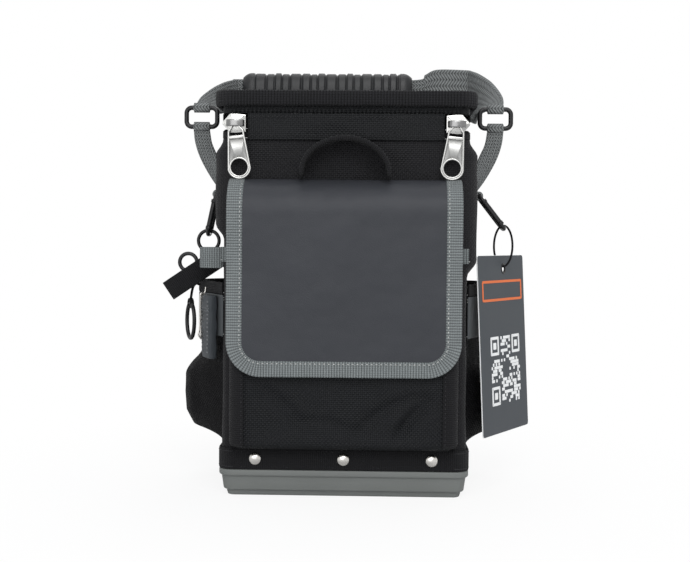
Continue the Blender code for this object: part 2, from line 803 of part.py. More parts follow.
def build_flap():
    """Sewn shoulder on the body, and below it the flap that lifts, with its binding."""
    outline = flap_path(FLAP_THICK / 2) + flap_path(-FLAP_THICK / 2)[::-1]
    side_view = [(-(BODY_HALF_DEPTH + out), height) for out, height in outline]
    shoulder = plate([side_view], 2 * FLAP_HALF_WIDTH, STANDING_SIDEWAYS, (0, 0, 0))
    dress(shoulder, "flap_shoulder", "grey_vinyl")

    middle = -(BODY_HALF_DEPTH + FLAP_OUT)
    top = FLAP_HINGE_HEIGHT - 2 * SEAM_GAP
    inner_x = FLAP_HALF_WIDTH - FLAP_BINDING
    inner_z = FLAP_BOTTOM + FLAP_BINDING
    inner_corner = FLAP_CORNER - FLAP_BINDING

    def lower_outline(half_x, low, corner, gap):
        """Down the left edge, round both lower corners and up the right edge."""
        points = [(-half_x + gap, top)]
        points += corner_points((-half_x + corner, low + corner), corner - gap, 180, 270)
        points += corner_points((half_x - corner, low + corner), corner - gap, 270, 360)
        points.append((half_x - gap, top))
        return points

    facing = FACING_FRONT
    panel = plate(
        [lower_outline(inner_x, inner_z, inner_corner, SEAM_GAP)],
        FLAP_THICK, facing, (0, middle, 0),
    )
    dress(panel, "flap_panel", "grey_vinyl")
    outer = lower_outline(FLAP_HALF_WIDTH, FLAP_BOTTOM, FLAP_CORNER, 0)
    inner = lower_outline(inner_x, inner_z, inner_corner, 0)
    binding = plate([outer + inner[::-1]], FLAP_BINDING_THICK, facing, (0, middle, 0))
    dress(binding, "flap_binding", "grey_webbing")
    back = middle + FLAP_THICK / 2 + SEAM_GAP
    patch = block(
        (-PATCH_HALF_WIDTH, back, PATCH_LOW),
        (PATCH_HALF_WIDTH, back + PATCH_THICK, PATCH_LOW + PATCH_HEIGHT),
    )
    dress(patch, "flap_patch", "black_nylon")
    hinge = (0, middle - FLAP_BINDING_THICK / 2 - SEAM_GAP, FLAP_HINGE_HEIGHT)
    pivot("flap_hinge", hinge, [panel, binding, patch])


def build_hanging_loop():
    """Arched webbing loop that stands over the flap's shoulder."""
    points = []
    rise = LOOP_RISE - LOOP_THICK
    for step in range(LOOP_STEPS + 1):
        angle = math.radians(180 - 180 * step / LOOP_STEPS)
        points.append((LOOP_HALF_SPAN * math.cos(angle), LOOP_FOOT + rise * math.sin(angle)))
    middle = -(BODY_HALF_DEPTH + STRIP_OUT + SEAM_GAP + LOOP_DEPTH / 2)
    outline = thick_line(points, LOOP_THICK)
    loop = plate([outline], LOOP_DEPTH, FACING_FRONT, (0, middle, 0))
    dress(loop, "hanging_loop", "black_webbing")


def side_rows(bulge, slim, wall, side):
    """Grid of points on a side pocket's cloth; wall sets the inner face back from it."""
    rows = []
    height = SIDE_TOP - SIDE_FOOT
    levels = zip(LEVEL_HEIGHT_SHARES, LEVEL_FULL_SHARES, LEVEL_REACH_SHARES)
    for height_share, full_share, reach_share in levels:
        row = []
        for back, slim_out, full_out in zip(PLAN_BACK_SHARES, SLIM_OUT_SHARES, FULL_OUT_SHARES):
            out = slim * slim_out * (1 - full_share) + bulge * full_out * full_share
            out = max(out * reach_share - wall, 0)
            run = SIDE_FRONT - 2 * wall if back < 0 else SIDE_BACK - 2 * wall
            level = SIDE_FOOT + height * height_share + wall * (1 - height_share)
            row.append((side * (BODY_HALF_WIDTH + SEAM_GAP + out), back * run, level))
        rows.append(row)
    return rows


def build_side_pockets():
    """Both bulging side pockets with the band and the grey patch round their mouths."""
    for word, side, share in (("left", -1, 1.0), ("right", 1, RIGHT_BULGE_SHARE)):
        slim = SIDE_SLIM * share
        bulge = SIDE_BULGE * share
        outer = side_rows(bulge, slim, 0, side)
        inner = side_rows(bulge, slim, SIDE_WALL, side)
        pocket = sheet_between(outer, inner)
        dress(pocket, f"{word}_pocket", "black_nylon")
        wall = BODY_HALF_WIDTH + SEAM_GAP
        path = [
            (side * (wall + slim * out), back * (SIDE_FRONT if back < 0 else SIDE_BACK))
            for back, out in zip(PLAN_BACK_SHARES, SLIM_OUT_SHARES)
        ]
        if side < 0:
            path.reverse()
        low = SIDE_TOP - SIDE_BINDING
        section = bar_section(SEAM_GAP, SEAM_GAP + SIDE_BINDING_THICK, low, SIDE_TOP)
        band = carry(path, section, closed_path=False)
        dress(band, f"{word}_pocket_binding", "black_webbing")
        section = bar_section(
            SEAM_GAP, SEAM_GAP + SIDE_PATCH_THICK,
            low - SEAM_GAP - SIDE_PATCH_HEIGHT, low - SEAM_GAP,
        )
        patch = carry(path, section, closed_path=False)
        dress(patch, f"{word}_pocket_patch", "grey_vinyl")
        if side < 0:
            add_key_ring(band)


def add_key_ring(band):
    """Oval key ring hanging from a stub sewn to the left pocket's band."""
    out = BODY_HALF_WIDTH + KEY_RING_OUT
    top = KEY_RING_HEIGHT + KEY_RING_HALF_HEIGHT
    turn = turn_by(z_deg=180 - KEY_RING_TURN_DEG)
    bore = KEY_RING_WIRE + KEY_EYE_SLACK
    band_out = BODY_HALF_WIDTH + 2 * SEAM_GAP + SIDE_SLIM * SLIM_OUT_SHARES[3]
    band_out += SIDE_BINDING_THICK / 2
    clear_out = band_out + SIDE_BINDING_THICK / 2 + 2 * SEAM_GAP
    arm = block(
        (-out, KEY_RING_BACK - KEY_ARM_HALF, top - bore - EYE_WALL / 2),
        (-clear_out, KEY_RING_BACK + KEY_ARM_HALF, top + bore + EYE_WALL / 2),
    )
    upright = block(
        (-clear_out - 2 * EYE_WALL, KEY_RING_BACK - KEY_EYE_LENGTH / 2, top),
        (-clear_out, KEY_RING_BACK + KEY_EYE_LENGTH / 2, SIDE_TOP - SEAM_GAP),
    )
    sewn = block(
        (-clear_out - EYE_WALL, KEY_RING_BACK - KEY_ARM_HALF, SIDE_TOP - SIDE_BINDING + SEAM_GAP),
        (-band_out, KEY_RING_BACK + KEY_ARM_HALF, SIDE_TOP - 2 * SEAM_GAP),
    )
    place = (-out, KEY_RING_BACK, top)
    barrel = rod(bore + EYE_WALL, KEY_EYE_LENGTH, place, "X")
    barrel.rotation_euler = (turn @ turn_by(y_deg=90)).to_euler()
    hole = rod(bore, KEY_EYE_LENGTH + 4 * OVERRUN, place, "X")
    hole.rotation_euler = barrel.rotation_euler
    stub = (("sewn", sewn), ("upright", upright), ("arm", arm), ("barrel", barrel))
    for word, other in stub:
        combine(band, as_cutter(other, f"key_{word}"), "UNION")
    combine(band, as_cutter(hole, "key_hole"))
    points = []
    for step in range(KEY_RING_STEPS):
        angle = math.radians(360 * step / KEY_RING_STEPS)
        points.append((
            KEY_RING_HALF_WIDTH * math.cos(angle), KEY_RING_HALF_HEIGHT * math.sin(angle)
        ))
    centre = (-out, KEY_RING_BACK, KEY_RING_HEIGHT)
    ring = wire(points, KEY_RING_WIRE, turn @ FACING_FRONT, centre)
    dress(ring, "key_ring", "black_metal")
    pivot("key_ring_pivot", place, [ring])


def build_lid():
    """Zip coils, fabric hinge strip, lid shell, its front skirt and its binding."""
    middle_x, middle_y = BODY_HALF_WIDTH - BODY_CORNER, BODY_HALF_DEPTH - BODY_CORNER

    def corner(sign_x, sign_y, start):
        """Points round one corner of the body."""
        centre = (sign_x * middle_x, sign_y * middle_y)
        return corner_points(centre, BODY_CORNER, start, start + 90)

    back_corners = corner(1, 1, 0) + corner(-1, 1, 90)
    # The lid's row stops behind the front corners, so that it lifts clear of the sliders.
    lid_row = [(BODY_HALF_WIDTH, -middle_y)] + back_corners + [(-BODY_HALF_WIDTH, -middle_y)]
    body_row = [(STRIP_HALF_WIDTH + SEAM_GAP, -BODY_HALF_DEPTH)] + corner(1, -1, 270)
    body_row += back_corners + corner(-1, -1, 180)
    body_row.append((-STRIP_HALF_WIDTH - SEAM_GAP, -BODY_HALF_DEPTH))

    low = BODY_TOP + SEAM_GAP
    section = bar_section(-COIL_IN, COIL_OUT, low, low + COIL_HEIGHT)
    body_coil = carry(body_row, section, closed_path=False)
    dress(body_coil, "body_zip", "zip_coil")
    lid_coil_low = low + COIL_HEIGHT + COIL_MOUTH
    lid_coil_top = lid_coil_low + COIL_HEIGHT
    section = bar_section(-COIL_IN, COIL_OUT, lid_coil_low, lid_coil_top)
    lid_coil = carry(lid_row, section, closed_path=False)
    dress(lid_coil, "lid_zip", "zip_coil")

    front = -(BODY_HALF_DEPTH + STRIP_OUT)
    back = -(BODY_HALF_DEPTH - CLOTH)
    strip = block(
        (-STRIP_HALF_WIDTH, front, low),
        (STRIP_HALF_WIDTH, back, HINGE_HEIGHT - SEAM_GAP),
    )
    dress(strip, "hinge_strip", "black_nylon")
    skirt = block(
        (-STRIP_HALF_WIDTH, front, HINGE_HEIGHT + SEAM_GAP),
        (STRIP_HALF_WIDTH, back, lid_coil_top),
    )
    dress(skirt, "lid_skirt", "black_nylon")

    lid_low = lid_coil_top + SEAM_GAP
    lid_top = lid_low + LID_RISE
    section = [
        (-CLOTH, lid_top - LID_PANEL),
        (-CLOTH, lid_low),
        (0, lid_low),
        (0, lid_top - LID_ROUND),
        (-LID_ROUND, lid_top),
    ]
    plan = round_plan(BODY_HALF_WIDTH, BODY_HALF_DEPTH, BODY_CORNER)
    shell = carry(plan, section, closed_section=False)
    dress(shell, "lid_panel", "black_nylon")
    binding_low = lid_low + BINDING_LOW_LIFT
    binding_top = binding_low + BINDING_HEIGHT
    out = SEAM_GAP + BINDING_OUT
    section = [
        (SEAM_GAP, binding_low),
        (out - BINDING_ROUND, binding_low),
        (out, binding_low + BINDING_ROUND),
        (out, binding_top - BINDING_ROUND),
        (out - BINDING_ROUND, binding_top),
        (SEAM_GAP, binding_top),
    ]
    binding = carry(plan, section)
    dress(binding, "lid_binding", "black_webbing")
    hinge = (0, -(BODY_HALF_DEPTH + HINGE_OUT), HINGE_HEIGHT)
    pivot("lid_hinge", hinge, [lid_coil, skirt, shell, binding])


def build_sliders():
    """Both zip sliders, each with a pull that turns on the pin of its bridge."""
    front = -(BODY_HALF_DEPTH + COIL_OUT + SLIDER_GAP)
    pin_front = front - SLIDER_PLATE - PULL_EYE_RADIUS - SEAM_GAP
    for word, side in (("left", -1), ("right", 1)):
        inner = side * SLIDER_INNER
        nose = SLIDER_LENGTH - SLIDER_HALF_HEIGHT
        outline = [(0, -SLIDER_HALF_HEIGHT)]
        outline += corner_points((nose, 0), SLIDER_HALF_HEIGHT, -90, 90, 2 * CORNER_STEPS)
        outline.append((0, SLIDER_HALF_HEIGHT))
        outline = [(side * x, y) for x, y in outline]
        base = (inner, front - SLIDER_PLATE / 2, HINGE_HEIGHT)
        body = meshed(plate([outline], SLIDER_PLATE, FACING_FRONT, base))
        bridge_x = inner + side * (BRIDGE_EDGE + BRIDGE_LENGTH / 2)
        pin_z = HINGE_HEIGHT
        for end in (-1, 1):
            post_x = bridge_x + end * (BRIDGE_LENGTH - BRIDGE_POST) / 2
            post = block(
                (post_x - BRIDGE_POST / 2, pin_front - PIN_RADIUS, pin_z - BRIDGE_HALF_HEIGHT),
                (post_x + BRIDGE_POST / 2, front - SLIDER_PLATE / 2, pin_z + BRIDGE_HALF_HEIGHT),
            )
            combine(body, as_cutter(post, f"{word}_post_{end + 1}"), "UNION")
        pin = rod(
            PIN_RADIUS, BRIDGE_LENGTH - BRIDGE_POST, (bridge_x, pin_front, pin_z), "X", 8
        )
        combine(body, as_cutter(pin, f"{word}_pin"), "UNION")
        dress(body, f"{word}_slider", "zip_metal")

        straight = PULL_LENGTH - PULL_END_RADIUS
        top = PULL_EYE_LENGTH / 2
        neck = -(BRIDGE_HALF_HEIGHT + 2 * SEAM_GAP)
        outline = [(top, 0), (-top, 0), (-top, neck)]
        outline.append((-PULL_SHOULDER_HALF, -PULL_SHOULDER_DROP))
        outline += corner_points((0, -straight), PULL_END_RADIUS, 190, 350, PULL_STEPS)
        outline += [(PULL_SHOULDER_HALF, -PULL_SHOULDER_DROP), (top, neck)]
        hole = corner_points((0, -straight), PULL_HOLE_RADIUS, 0, 360, 2 * PULL_STEPS)[:-1]
        place = (bridge_x, pin_front, pin_z)
        tongue = meshed(plate([outline, hole], PULL_THICK, FACING_FRONT, place))
        eye = rod(PULL_EYE_RADIUS, PULL_EYE_LENGTH, place, "X", EYE_SIDES)
        bore = rod(PIN_RADIUS + SEAM_GAP, PULL_EYE_LENGTH + OVERRUN, place, "X", EYE_SIDES)
        combine(tongue, as_cutter(eye, f"{word}_pull_eye"), "UNION")
        combine(tongue, as_cutter(bore, f"{word}_pull_bore"))
        dress(tongue, f"{word}_pull", "zip_metal")
        carrier = pivot(f"{word}_slider_travel", base, [body])
        swing = pivot(f"{word}_pull_pivot", place, [tongue])
        swing.parent = carrier
        swing.matrix_parent_inverse = Matrix.Translation(Vector(base)).inverted()


def ring_centre_out():
    """How far the middle of a strap ring stands from the centre of the pouch."""
    return BODY_HALF_WIDTH + RING_OUT


def build_rings_and_tabs():
    """Webbing tabs sewn to the sides, each holding a strap ring and an eye for a hook."""
    half_bar, half_rise = RING_BAR / 2, RING_HEIGHT / 2
    outline = round_plan(half_bar, half_rise, RING_CORNER)
    middle_z = PIVOT_HEIGHT - half_rise
    for word, side in (("left", -1), ("right", 1)):
        place = (side * ring_centre_out(), PIVOT_BACK, middle_z)
        ring = wire(outline, RING_WIRE, FACING_FRONT, place, 2)
        dress(ring, f"{word}_strap_ring", "black_metal")

        eye = (side * ring_centre_out(), PIVOT_BACK, PIVOT_HEIGHT - RING_HEIGHT)
        wall_out = BODY_HALF_WIDTH + SEAM_GAP + WEBBING / 2
        free = eye[2] - EYE_REACH - TAB_FOOT - TAB_SEWN
        stations = [
            ((side * wall_out, PIVOT_BACK, TAB_FOOT), (0, TAB_FOOT_WIDTH / 2, 0)),
            ((side * wall_out, PIVOT_BACK, TAB_FOOT + TAB_SEWN), (0, TAB_FOOT_WIDTH / 2, 0)),
        ]
        for rise_share, out_share, turn_share in TAB_SHARES:
            angle = math.radians(90 * turn_share)
            half = (TAB_FOOT_WIDTH + (EYE_STRAP - TAB_FOOT_WIDTH) * turn_share) / 2
            centre = (
                side * (wall_out + (ring_centre_out() - wall_out) * out_share),
                PIVOT_BACK,
                TAB_FOOT + TAB_SEWN + free * rise_share,
            )
            spread = (side * half * math.sin(angle), half * math.cos(angle), 0)
            stations.append((centre, spread))
        tab = ribbon(stations, WEBBING)
        wrap_on_bar(tab, eye, f"{word}_tab")
        hook_eye = hook_eye_place(side)
        barrel = rod(HOOK_WIRE + EYE_GAP + EYE_WALL, HOOK_EYE_LENGTH, hook_eye, "Y", EYE_SIDES)
        bore = rod(HOOK_WIRE + EYE_GAP, HOOK_EYE_LENGTH + OVERRUN, hook_eye, "Y", EYE_SIDES)
        combine(tab, as_cutter(barrel, f"{word}_hook_barrel"), "UNION")
        combine(tab, as_cutter(bore, f"{word}_hook_bore"))
        dress(tab, f"{word}_tab", "handle_webbing")


def wrap_on_bar(strap, eye, word):
    """Join a loop round a ring's bar to the end of a strap."""
    barrel = rod(RING_WIRE + EYE_GAP + EYE_WALL, EYE_LENGTH, eye, "X")
    bore = rod(RING_WIRE + EYE_GAP, EYE_LENGTH + OVERRUN, eye, "X")
    combine(strap, as_cutter(barrel, f"{word}_barrel"), "UNION")
    combine(strap, as_cutter(bore, f"{word}_bore"))


def hook_eye_place(side):
    """Centre of the small eye on a side tab."""
    return (side * (BODY_HALF_WIDTH + HOOK_EYE_OUT), PIVOT_BACK, TAB_FOOT + HOOK_EYE_RISE)


def build_handle():
    """Carry handle: webbing looped through both rings, with an over-moulded grip."""
    back = BODY_HALF_DEPTH + HANDLE_BACK
    run = back - PIVOT_BACK - EYE_REACH
    rise = HANDLE_HEIGHT - PIVOT_HEIGHT
    ring_out = ring_centre_out()
    inner = HANDLE_NARROW / 2

    def arm(side, wide):
        """Stations from the ring's eye to the rear corner, turning the webbing upright."""
        stations = []
        for back_share, out_share, rise_share, turn_share in ARM_SHARES:
            angle = math.radians(90 * turn_share)
            half = (EYE_STRAP + (2 * wide - EYE_STRAP) * turn_share) / 2
            centre = (
                side * ring_out * out_share,
                PIVOT_BACK + EYE_REACH + run * back_share,
                PIVOT_HEIGHT + rise * rise_share,
            )
            spread = (side * half * math.cos(angle), 0, half * math.sin(angle))
            stations.append((centre, spread))
        return stations

    stations = arm(-1, inner)
    stations.append(((-GRIP_LEFT - OVERRUN, back, HANDLE_HEIGHT), (0, 0, inner)))
    stations.append(((GRIP_RIGHT + OVERRUN, back, HANDLE_HEIGHT), (0, 0, inner)))
    wide = HANDLE_WIDE / 2
    stations.append(((GRIP_RIGHT + wide / 2, back, HANDLE_HEIGHT), (0, 0, (inner + wide) / 2)))
    stations.append(((GRIP_RIGHT + wide, back, HANDLE_HEIGHT), (0, 0, wide)))
    stations += arm(1, wide)[::-1]
    webbing = ribbon(stations, HANDLE_WEB)
    for word, side in (("left", -1), ("right", 1)):
        wrap_on_bar(webbing, (side * ring_out, PIVOT_BACK, PIVOT_HEIGHT), f"{word}_arm")
    dress(webbing, "handle_webbing", "handle_webbing")

    length = GRIP_LEFT + GRIP_RIGHT
    bm = bmesh.new()
    rows = []
    for place, shrink in grip_profile(length):
        row = []
        for step in range(GRIP_SIDES):
            angle = math.radians(360 * step / GRIP_SIDES)
            row.append(bm.verts.new((
                -GRIP_LEFT + place,
                back + (GRIP_HALF_DEPTH - shrink) * math.cos(angle),
                HANDLE_HEIGHT + (GRIP_HALF_HEIGHT - shrink) * math.sin(angle),
            )))
        rows.append(row)
    for here, there in zip(rows, rows[1:]):
        for step in range(GRIP_SIDES):
            after = (step + 1) % GRIP_SIDES
            bm.faces.new((here[step], here[after], there[after], there[step]))
    bm.faces.new(rows[0])
    bm.faces.new(rows[-1])
    grip = mesh_object("grip", bm)
    half_slot = HANDLE_WEB / 2 + SEAM_GAP
    slot = block(
        (-GRIP_LEFT - OVERRUN, back - half_slot, HANDLE_HEIGHT - inner - SEAM_GAP),
        (GRIP_RIGHT + OVERRUN, back + half_slot, HANDLE_HEIGHT + inner + SEAM_GAP),
    )
    combine(grip, as_cutter(slot, "grip_slot"))
    dress(grip, "handle_grip", "black_rubber")
    pivot("handle_pivot", (0, PIVOT_BACK, PIVOT_HEIGHT), [webbing, grip])


def grip_profile(length):
    """Places along the grip and how far its skin is drawn in there: bands and grooves."""
    stations = [(0, GRIP_CAP_DRAW), (GRIP_CAP / 3, GRIP_GROOVE)]
    pitch = (length - 2 * GRIP_CAP) / GRIP_BANDS
    for band in range(GRIP_BANDS):
        start = GRIP_CAP + band * pitch
        stations.append((start, GRIP_GROOVE))
        stations.append((start + pitch * GROOVE_SHARE, 0))
        stations.append((start + pitch * (1 - GROOVE_SHARE), 0))
    stations.append((length - GRIP_CAP, GRIP_GROOVE))
    stations.append((length - GRIP_CAP / 3, GRIP_GROOVE))
    stations.append((length, GRIP_CAP_DRAW))
    return stations


def hook_end(side, slant_deg):
    """Where a hook's lower bar lies when it hangs from its eye at a slant."""
    eye = hook_eye_place(side)
    slant = math.radians(slant_deg)
    return (
        eye[0] + side * HOOK_LENGTH * math.sin(slant),
        eye[1],
        eye[2] - HOOK_LENGTH * math.cos(slant),
    )


def build_hooks():
    """A snap hook on each tab; the left one holds a small ring."""
    outline = round_plan(HOOK_LENGTH / 2, HOOK_HALF_WIDTH, HOOK_CORNER)
    for word, side, slant in (("left", -1, LEFT_SLANT_DEG), ("right", 1, HOOK_SLANT_DEG)):
        eye = Vector(hook_eye_place(side))
        end = Vector(hook_end(side, slant))
        turn = turn_by(y_deg=90 - side * slant)
        hook = wire(outline, HOOK_WIRE, turn, (eye + end) / 2)
        dress(hook, f"{word}_hook", "black_metal")
        pivot(f"{word}_hook_pivot", eye, [hook])
    end = hook_end(-1, LEFT_SLANT_DEG)
    points = corner_points((0, 0), SMALL_RING_RADIUS, 0, 360, SMALL_RING_STEPS)[:-1]
    drop = SMALL_RING_RADIUS - SMALL_RING_WIRE - HOOK_WIRE - SEAM_GAP
    ring = wire(points, SMALL_RING_WIRE, FACING_FRONT, (end[0], end[1], end[2] - drop))
    dress(ring, "small_ring", "black_metal")
    pivot("small_ring_pivot", end, [ring])


def build_tag():
    """Elastic string through the right hook, and the hang tag that it carries."""
    end = hook_end(1, HOOK_SLANT_DEG)
    top = end[2] + HOOK_WIRE + STRING_WIRE + SEAM_GAP
    points = []
    for step in range(STRING_STEPS):
        angle = math.radians(360 * step / STRING_STEPS)
        points.append((
            STRING_HALF_WIDTH * math.cos(angle), STRING_LENGTH / 2 * math.sin(angle)
        ))
    centre = (end[0], end[1], top - STRING_LENGTH / 2)
    string = wire(points, STRING_WIRE, FACING_FRONT, centre)
    dress(string, "tag_string", "string")

    hole_z = top - STRING_LENGTH + STRING_WIRE + SEAM_GAP - TAG_HOLE_RADIUS
    left = -TAG_WIDTH * TAG_HOLE_SHARE
    right = TAG_WIDTH * (1 - TAG_HOLE_SHARE)
    outline = [
        (left, TAG_HOLE_DROP), (left, TAG_HOLE_DROP - TAG_HEIGHT),
        (right, TAG_HOLE_DROP - TAG_HEIGHT), (right, TAG_HOLE_DROP),
    ]
    hole = corner_points((0, 0), TAG_HOLE_RADIUS, 0, 360, 12)[:-1]
    turn = turn_by(z_deg=TAG_TURN_DEG) @ turn_by(x_deg=90 - TAG_LEAN_DEG)
    card = plate([outline, hole], TAG_THICK, turn, (end[0], end[1], hole_z))
    dress(card, "tag_card", "tag_card")
    pivot("tag_pivot", end, [string, card])


def build_tape_clip():
    """Vinyl mount and steel plate on the left pocket's front slope."""
    run = SIDE_FRONT * (PLAN_BACK_SHARES[2] - PLAN_BACK_SHARES[0])
    out = SIDE_SLIM * SLIM_OUT_SHARES[2]
    along = Vector((-out, run, 0)).normalized()
    outward = Vector((-run, -out, 0)).normalized()
    start = Vector((-(BODY_HALF_WIDTH + SEAM_GAP), -SIDE_FRONT, 0))
    lift = SEAM_GAP + SIDE_PATCH_THICK + SEAM_GAP + MOUNT_THICK / 2
    centre = start + along * MOUNT_ALONG + outward * lift
    turn = Matrix((outward, along, Vector((0, 0, 1)))).transposed()
    half = (MOUNT_THICK / 2, MOUNT_WIDTH / 2, MOUNT_HEIGHT / 2)
    mount = block([-value for value in half], half)
    centre.z = MOUNT_LOW + MOUNT_HEIGHT / 2
    mount.matrix_world = Matrix.Translation(centre) @ turn.to_4x4()
    dress(soften(mount, MOUNT_ROUND), "tape_mount", "grey_vinyl")
    steel = block(
        (-MOUNT_THICK / 2, 0, 0),
        (MOUNT_THICK / 2 + PLATE_RISE, PLATE_THICK, PLATE_HEIGHT),
    )
    seat = centre + along * (MOUNT_WIDTH / 2 + SEAM_GAP)
    seat.z = MOUNT_LOW + MOUNT_HEIGHT - PLATE_HEIGHT + PLATE_RISE
    base = steel.matrix_world.copy()
    steel.matrix_world = Matrix.Translation(seat) @ turn.to_4x4() @ base
    dress(steel, "tape_plate", "steel")


def build_tape_strap():
    """Tape strap that sticks out of the left side, with a ring through its upper edge."""
    turn = turn_by(y_deg=-TAPE_STRAP_TURN_DEG)
    along = turn @ Vector((-1, 0, 0))
    up = turn @ Vector((0, 0, 1))
    reach = TAPE_STRAP_WIDTH / 2 * math.sin(math.radians(TAPE_STRAP_TURN_DEG))
    root = Vector((
        -(BODY_HALF_WIDTH + SEAM_GAP + reach), -TAPE_STRAP_FRONT, TAPE_STRAP_HEIGHT
    ))
    half = (TAPE_STRAP_LENGTH / 2, TAPE_STRAP_THICK / 2, TAPE_STRAP_WIDTH / 2)
    strap = block([-value for value in half], half)
    centre = root + along * TAPE_STRAP_LENGTH / 2
    strap.matrix_world = Matrix.Translation(centre) @ turn.to_4x4()
    ring_place = root + along * TAPE_STRAP_LENGTH * TAPE_RING_ALONG_SHARE
    ring_place += up * (TAPE_STRAP_WIDTH / 2 + TAPE_RING_RISE)
    bpy.ops.mesh.primitive_torus_add(
        major_radius=TAPE_RING_RADIUS, minor_radius=TAPE_RING_WIRE + SEAM_GAP,
        major_segments=SMALL_RING_STEPS, minor_segments=8,
        location=ring_place, rotation=(math.radians(90), 0, 0),
    )
    combine(strap, as_cutter(bpy.context.object, "tape_ring_channel"))
    dress(strap, "tape_strap", "black_webbing")
    points = corner_points((0, 0), TAPE_RING_RADIUS, 0, 360, SMALL_RING_STEPS)[:-1]
    ring = wire(points, TAPE_RING_WIRE, FACING_FRONT, ring_place)
    dress(ring, "tape_ring", "black_metal")


def build_tool_loop():
    """Grey elastic band that arches off the left side to hold a tool."""
    points = []
    half = TOOL_LOOP_LENGTH / 2
    for step in range(LOOP_STEPS + 1):
        angle = math.radians(180 * step / LOOP_STEPS)
        points.append((
            -(BODY_HALF_WIDTH + SEAM_GAP + TOOL_LOOP_OUT * math.sin(angle)),
            -TOOL_LOOP_FRONT + half + half * math.cos(angle),
        ))
    section = bar_section(
        -WEBBING / 2, 0, TOOL_LOOP_LOW, TOOL_LOOP_LOW + TOOL_LOOP_HEIGHT
    )
    dress(carry(points, section, closed_path=False), "tool_loop_band", "grey_webbing")


def screw_holes():
    """One cutter for both belt clip screws."""
    bm = bmesh.new()
    radius = SCREW_SHANK_RADIUS + 2 * SEAM_GAP
    length = 2 * (CLIP_PLATE_THICK + CLIP_STEEL + CLOTH + OVERRUN)
    for side in (-1, 1):
        matrix = Matrix.Translation((side * SCREW_SPACING / 2, BODY_HALF_DEPTH, SCREW_HEIGHT))
        matrix = matrix @ FACING_BACK.to_4x4()
        bmesh.ops.create_cone(
            bm, cap_ends=True, segments=8, radius1=radius, radius2=radius,
            depth=length, matrix=matrix,
        )
    return as_cutter(mesh_object("screw_holes", bm), "screw_holes")


def build_belt_clip():
    """Backing plate, spring steel clip and its two screws on the back panel."""
    back = BODY_HALF_DEPTH + SEAM_GAP
    backing = block(
        (-CLIP_PLATE_HALF_WIDTH, back, CLIP_PLATE_LOW),
        (CLIP_PLATE_HALF_WIDTH, back + CLIP_PLATE_THICK, CLIP_PLATE_LOW + CLIP_PLATE_HEIGHT),
    )
    dress(combine(backing, SCREW_HOLES), "clip_backing", "grey_vinyl")
    seat = back + CLIP_PLATE_THICK + SEAM_GAP
    top = CLIP_PLATE_LOW + CLIP_PLATE_HEIGHT
    inner = seat + CLIP_STEEL / 2
    outer = inner + CLIP_STEEL + CLIP_SLOT
    radius = (outer - inner) / 2
    points = [(inner, top - CLIP_HEAD)]
    points += corner_points((inner + radius, top), radius, 180, 0, 2 * CORNER_STEPS)
    points.append((outer, top - CLIP_DROP))
    points.append((outer + CLIP_BEND, top - CLIP_DROP - 2 * CLIP_BEND))
    outline = thick_line(points, CLIP_STEEL)
    clip = meshed(plate([outline], 2 * CLIP_HALF_WIDTH, STANDING_SIDEWAYS, (0, 0, 0)))
    dress(combine(clip, SCREW_HOLES), "belt_clip", "steel")
    depth = CLIP_STEEL + CLIP_PLATE_THICK + CLOTH + 2 * SEAM_GAP
    profile = [
        (0, SCREW_HEAD),
        (SCREW_HEAD_RADIUS * SCREW_FLAT_SHARE, SCREW_HEAD),
        (SCREW_HEAD_RADIUS, 0),
        (SCREW_SHANK_RADIUS, 0),
        (SCREW_SHANK_RADIUS, -depth),
        (0, -depth),
    ]
    for word, side in (("left", -1), ("right", 1)):
        place = (side * SCREW_SPACING / 2, seat + CLIP_STEEL + SEAM_GAP, SCREW_HEIGHT)
        screw = turned(profile, RIVET_STEPS, FACING_BACK, place)
        dress(screw, f"clip_screw_{word}", "nickel")


def build_inside():
    """Divider standing in the tool bay, and the tool sleeve sewn to it."""
    half = BODY_HALF_WIDTH - CLOTH - SEAM_GAP - BASE_WALL - SEAM_GAP
    divider = block(
        (-half, DIVIDER_BACK - DIVIDER_THICK / 2, BASE_FLOOR + SEAM_GAP),
        (half, DIVIDER_BACK + DIVIDER_THICK / 2, DIVIDER_TOP),
    )
    lower = BODY_HALF_WIDTH - BASE_FOOT_INSET - BASE_WALL
    shoulder = block(
        (-half - OVERRUN, DIVIDER_BACK - DIVIDER_THICK, 0),
        (-lower + 2 * OVERRUN, DIVIDER_BACK + DIVIDER_THICK, BASE_RIM),
    )
    combine(divider, as_cutter(shoulder, "divider_foot_left"))
    shoulder = block(
        (lower - 2 * OVERRUN, DIVIDER_BACK - DIVIDER_THICK, 0),
        (half + OVERRUN, DIVIDER_BACK + DIVIDER_THICK, BASE_RIM),
    )
    combine(divider, as_cutter(shoulder, "divider_foot_right"))
    dress(divider, "divider", "pocket_nylon")
    back = DIVIDER_BACK - DIVIDER_THICK / 2 - SEAM_GAP
    sleeve = tub(
        SLEEVE_HALF_WIDTH, SLEEVE_REACH, SLEEVE_LOW, SLEEVE_LOW + SLEEVE_HEIGHT, back,
        POCKET_CORNER,
    )
    dress(sleeve, "tool_sleeve", "grey_vinyl")


HOLES = rivet_holes()
SCREW_HOLES = screw_holes()
build_base()
build_skirt()
build_panels()
build_front_pocket()
build_flap()
build_hanging_loop()
build_side_pockets()
build_lid()
build_sliders()
build_rings_and_tabs()
build_handle()
build_hooks()
build_tag()
build_tape_clip()
build_tape_strap()
build_tool_loop()
build_belt_clip()
build_inside()
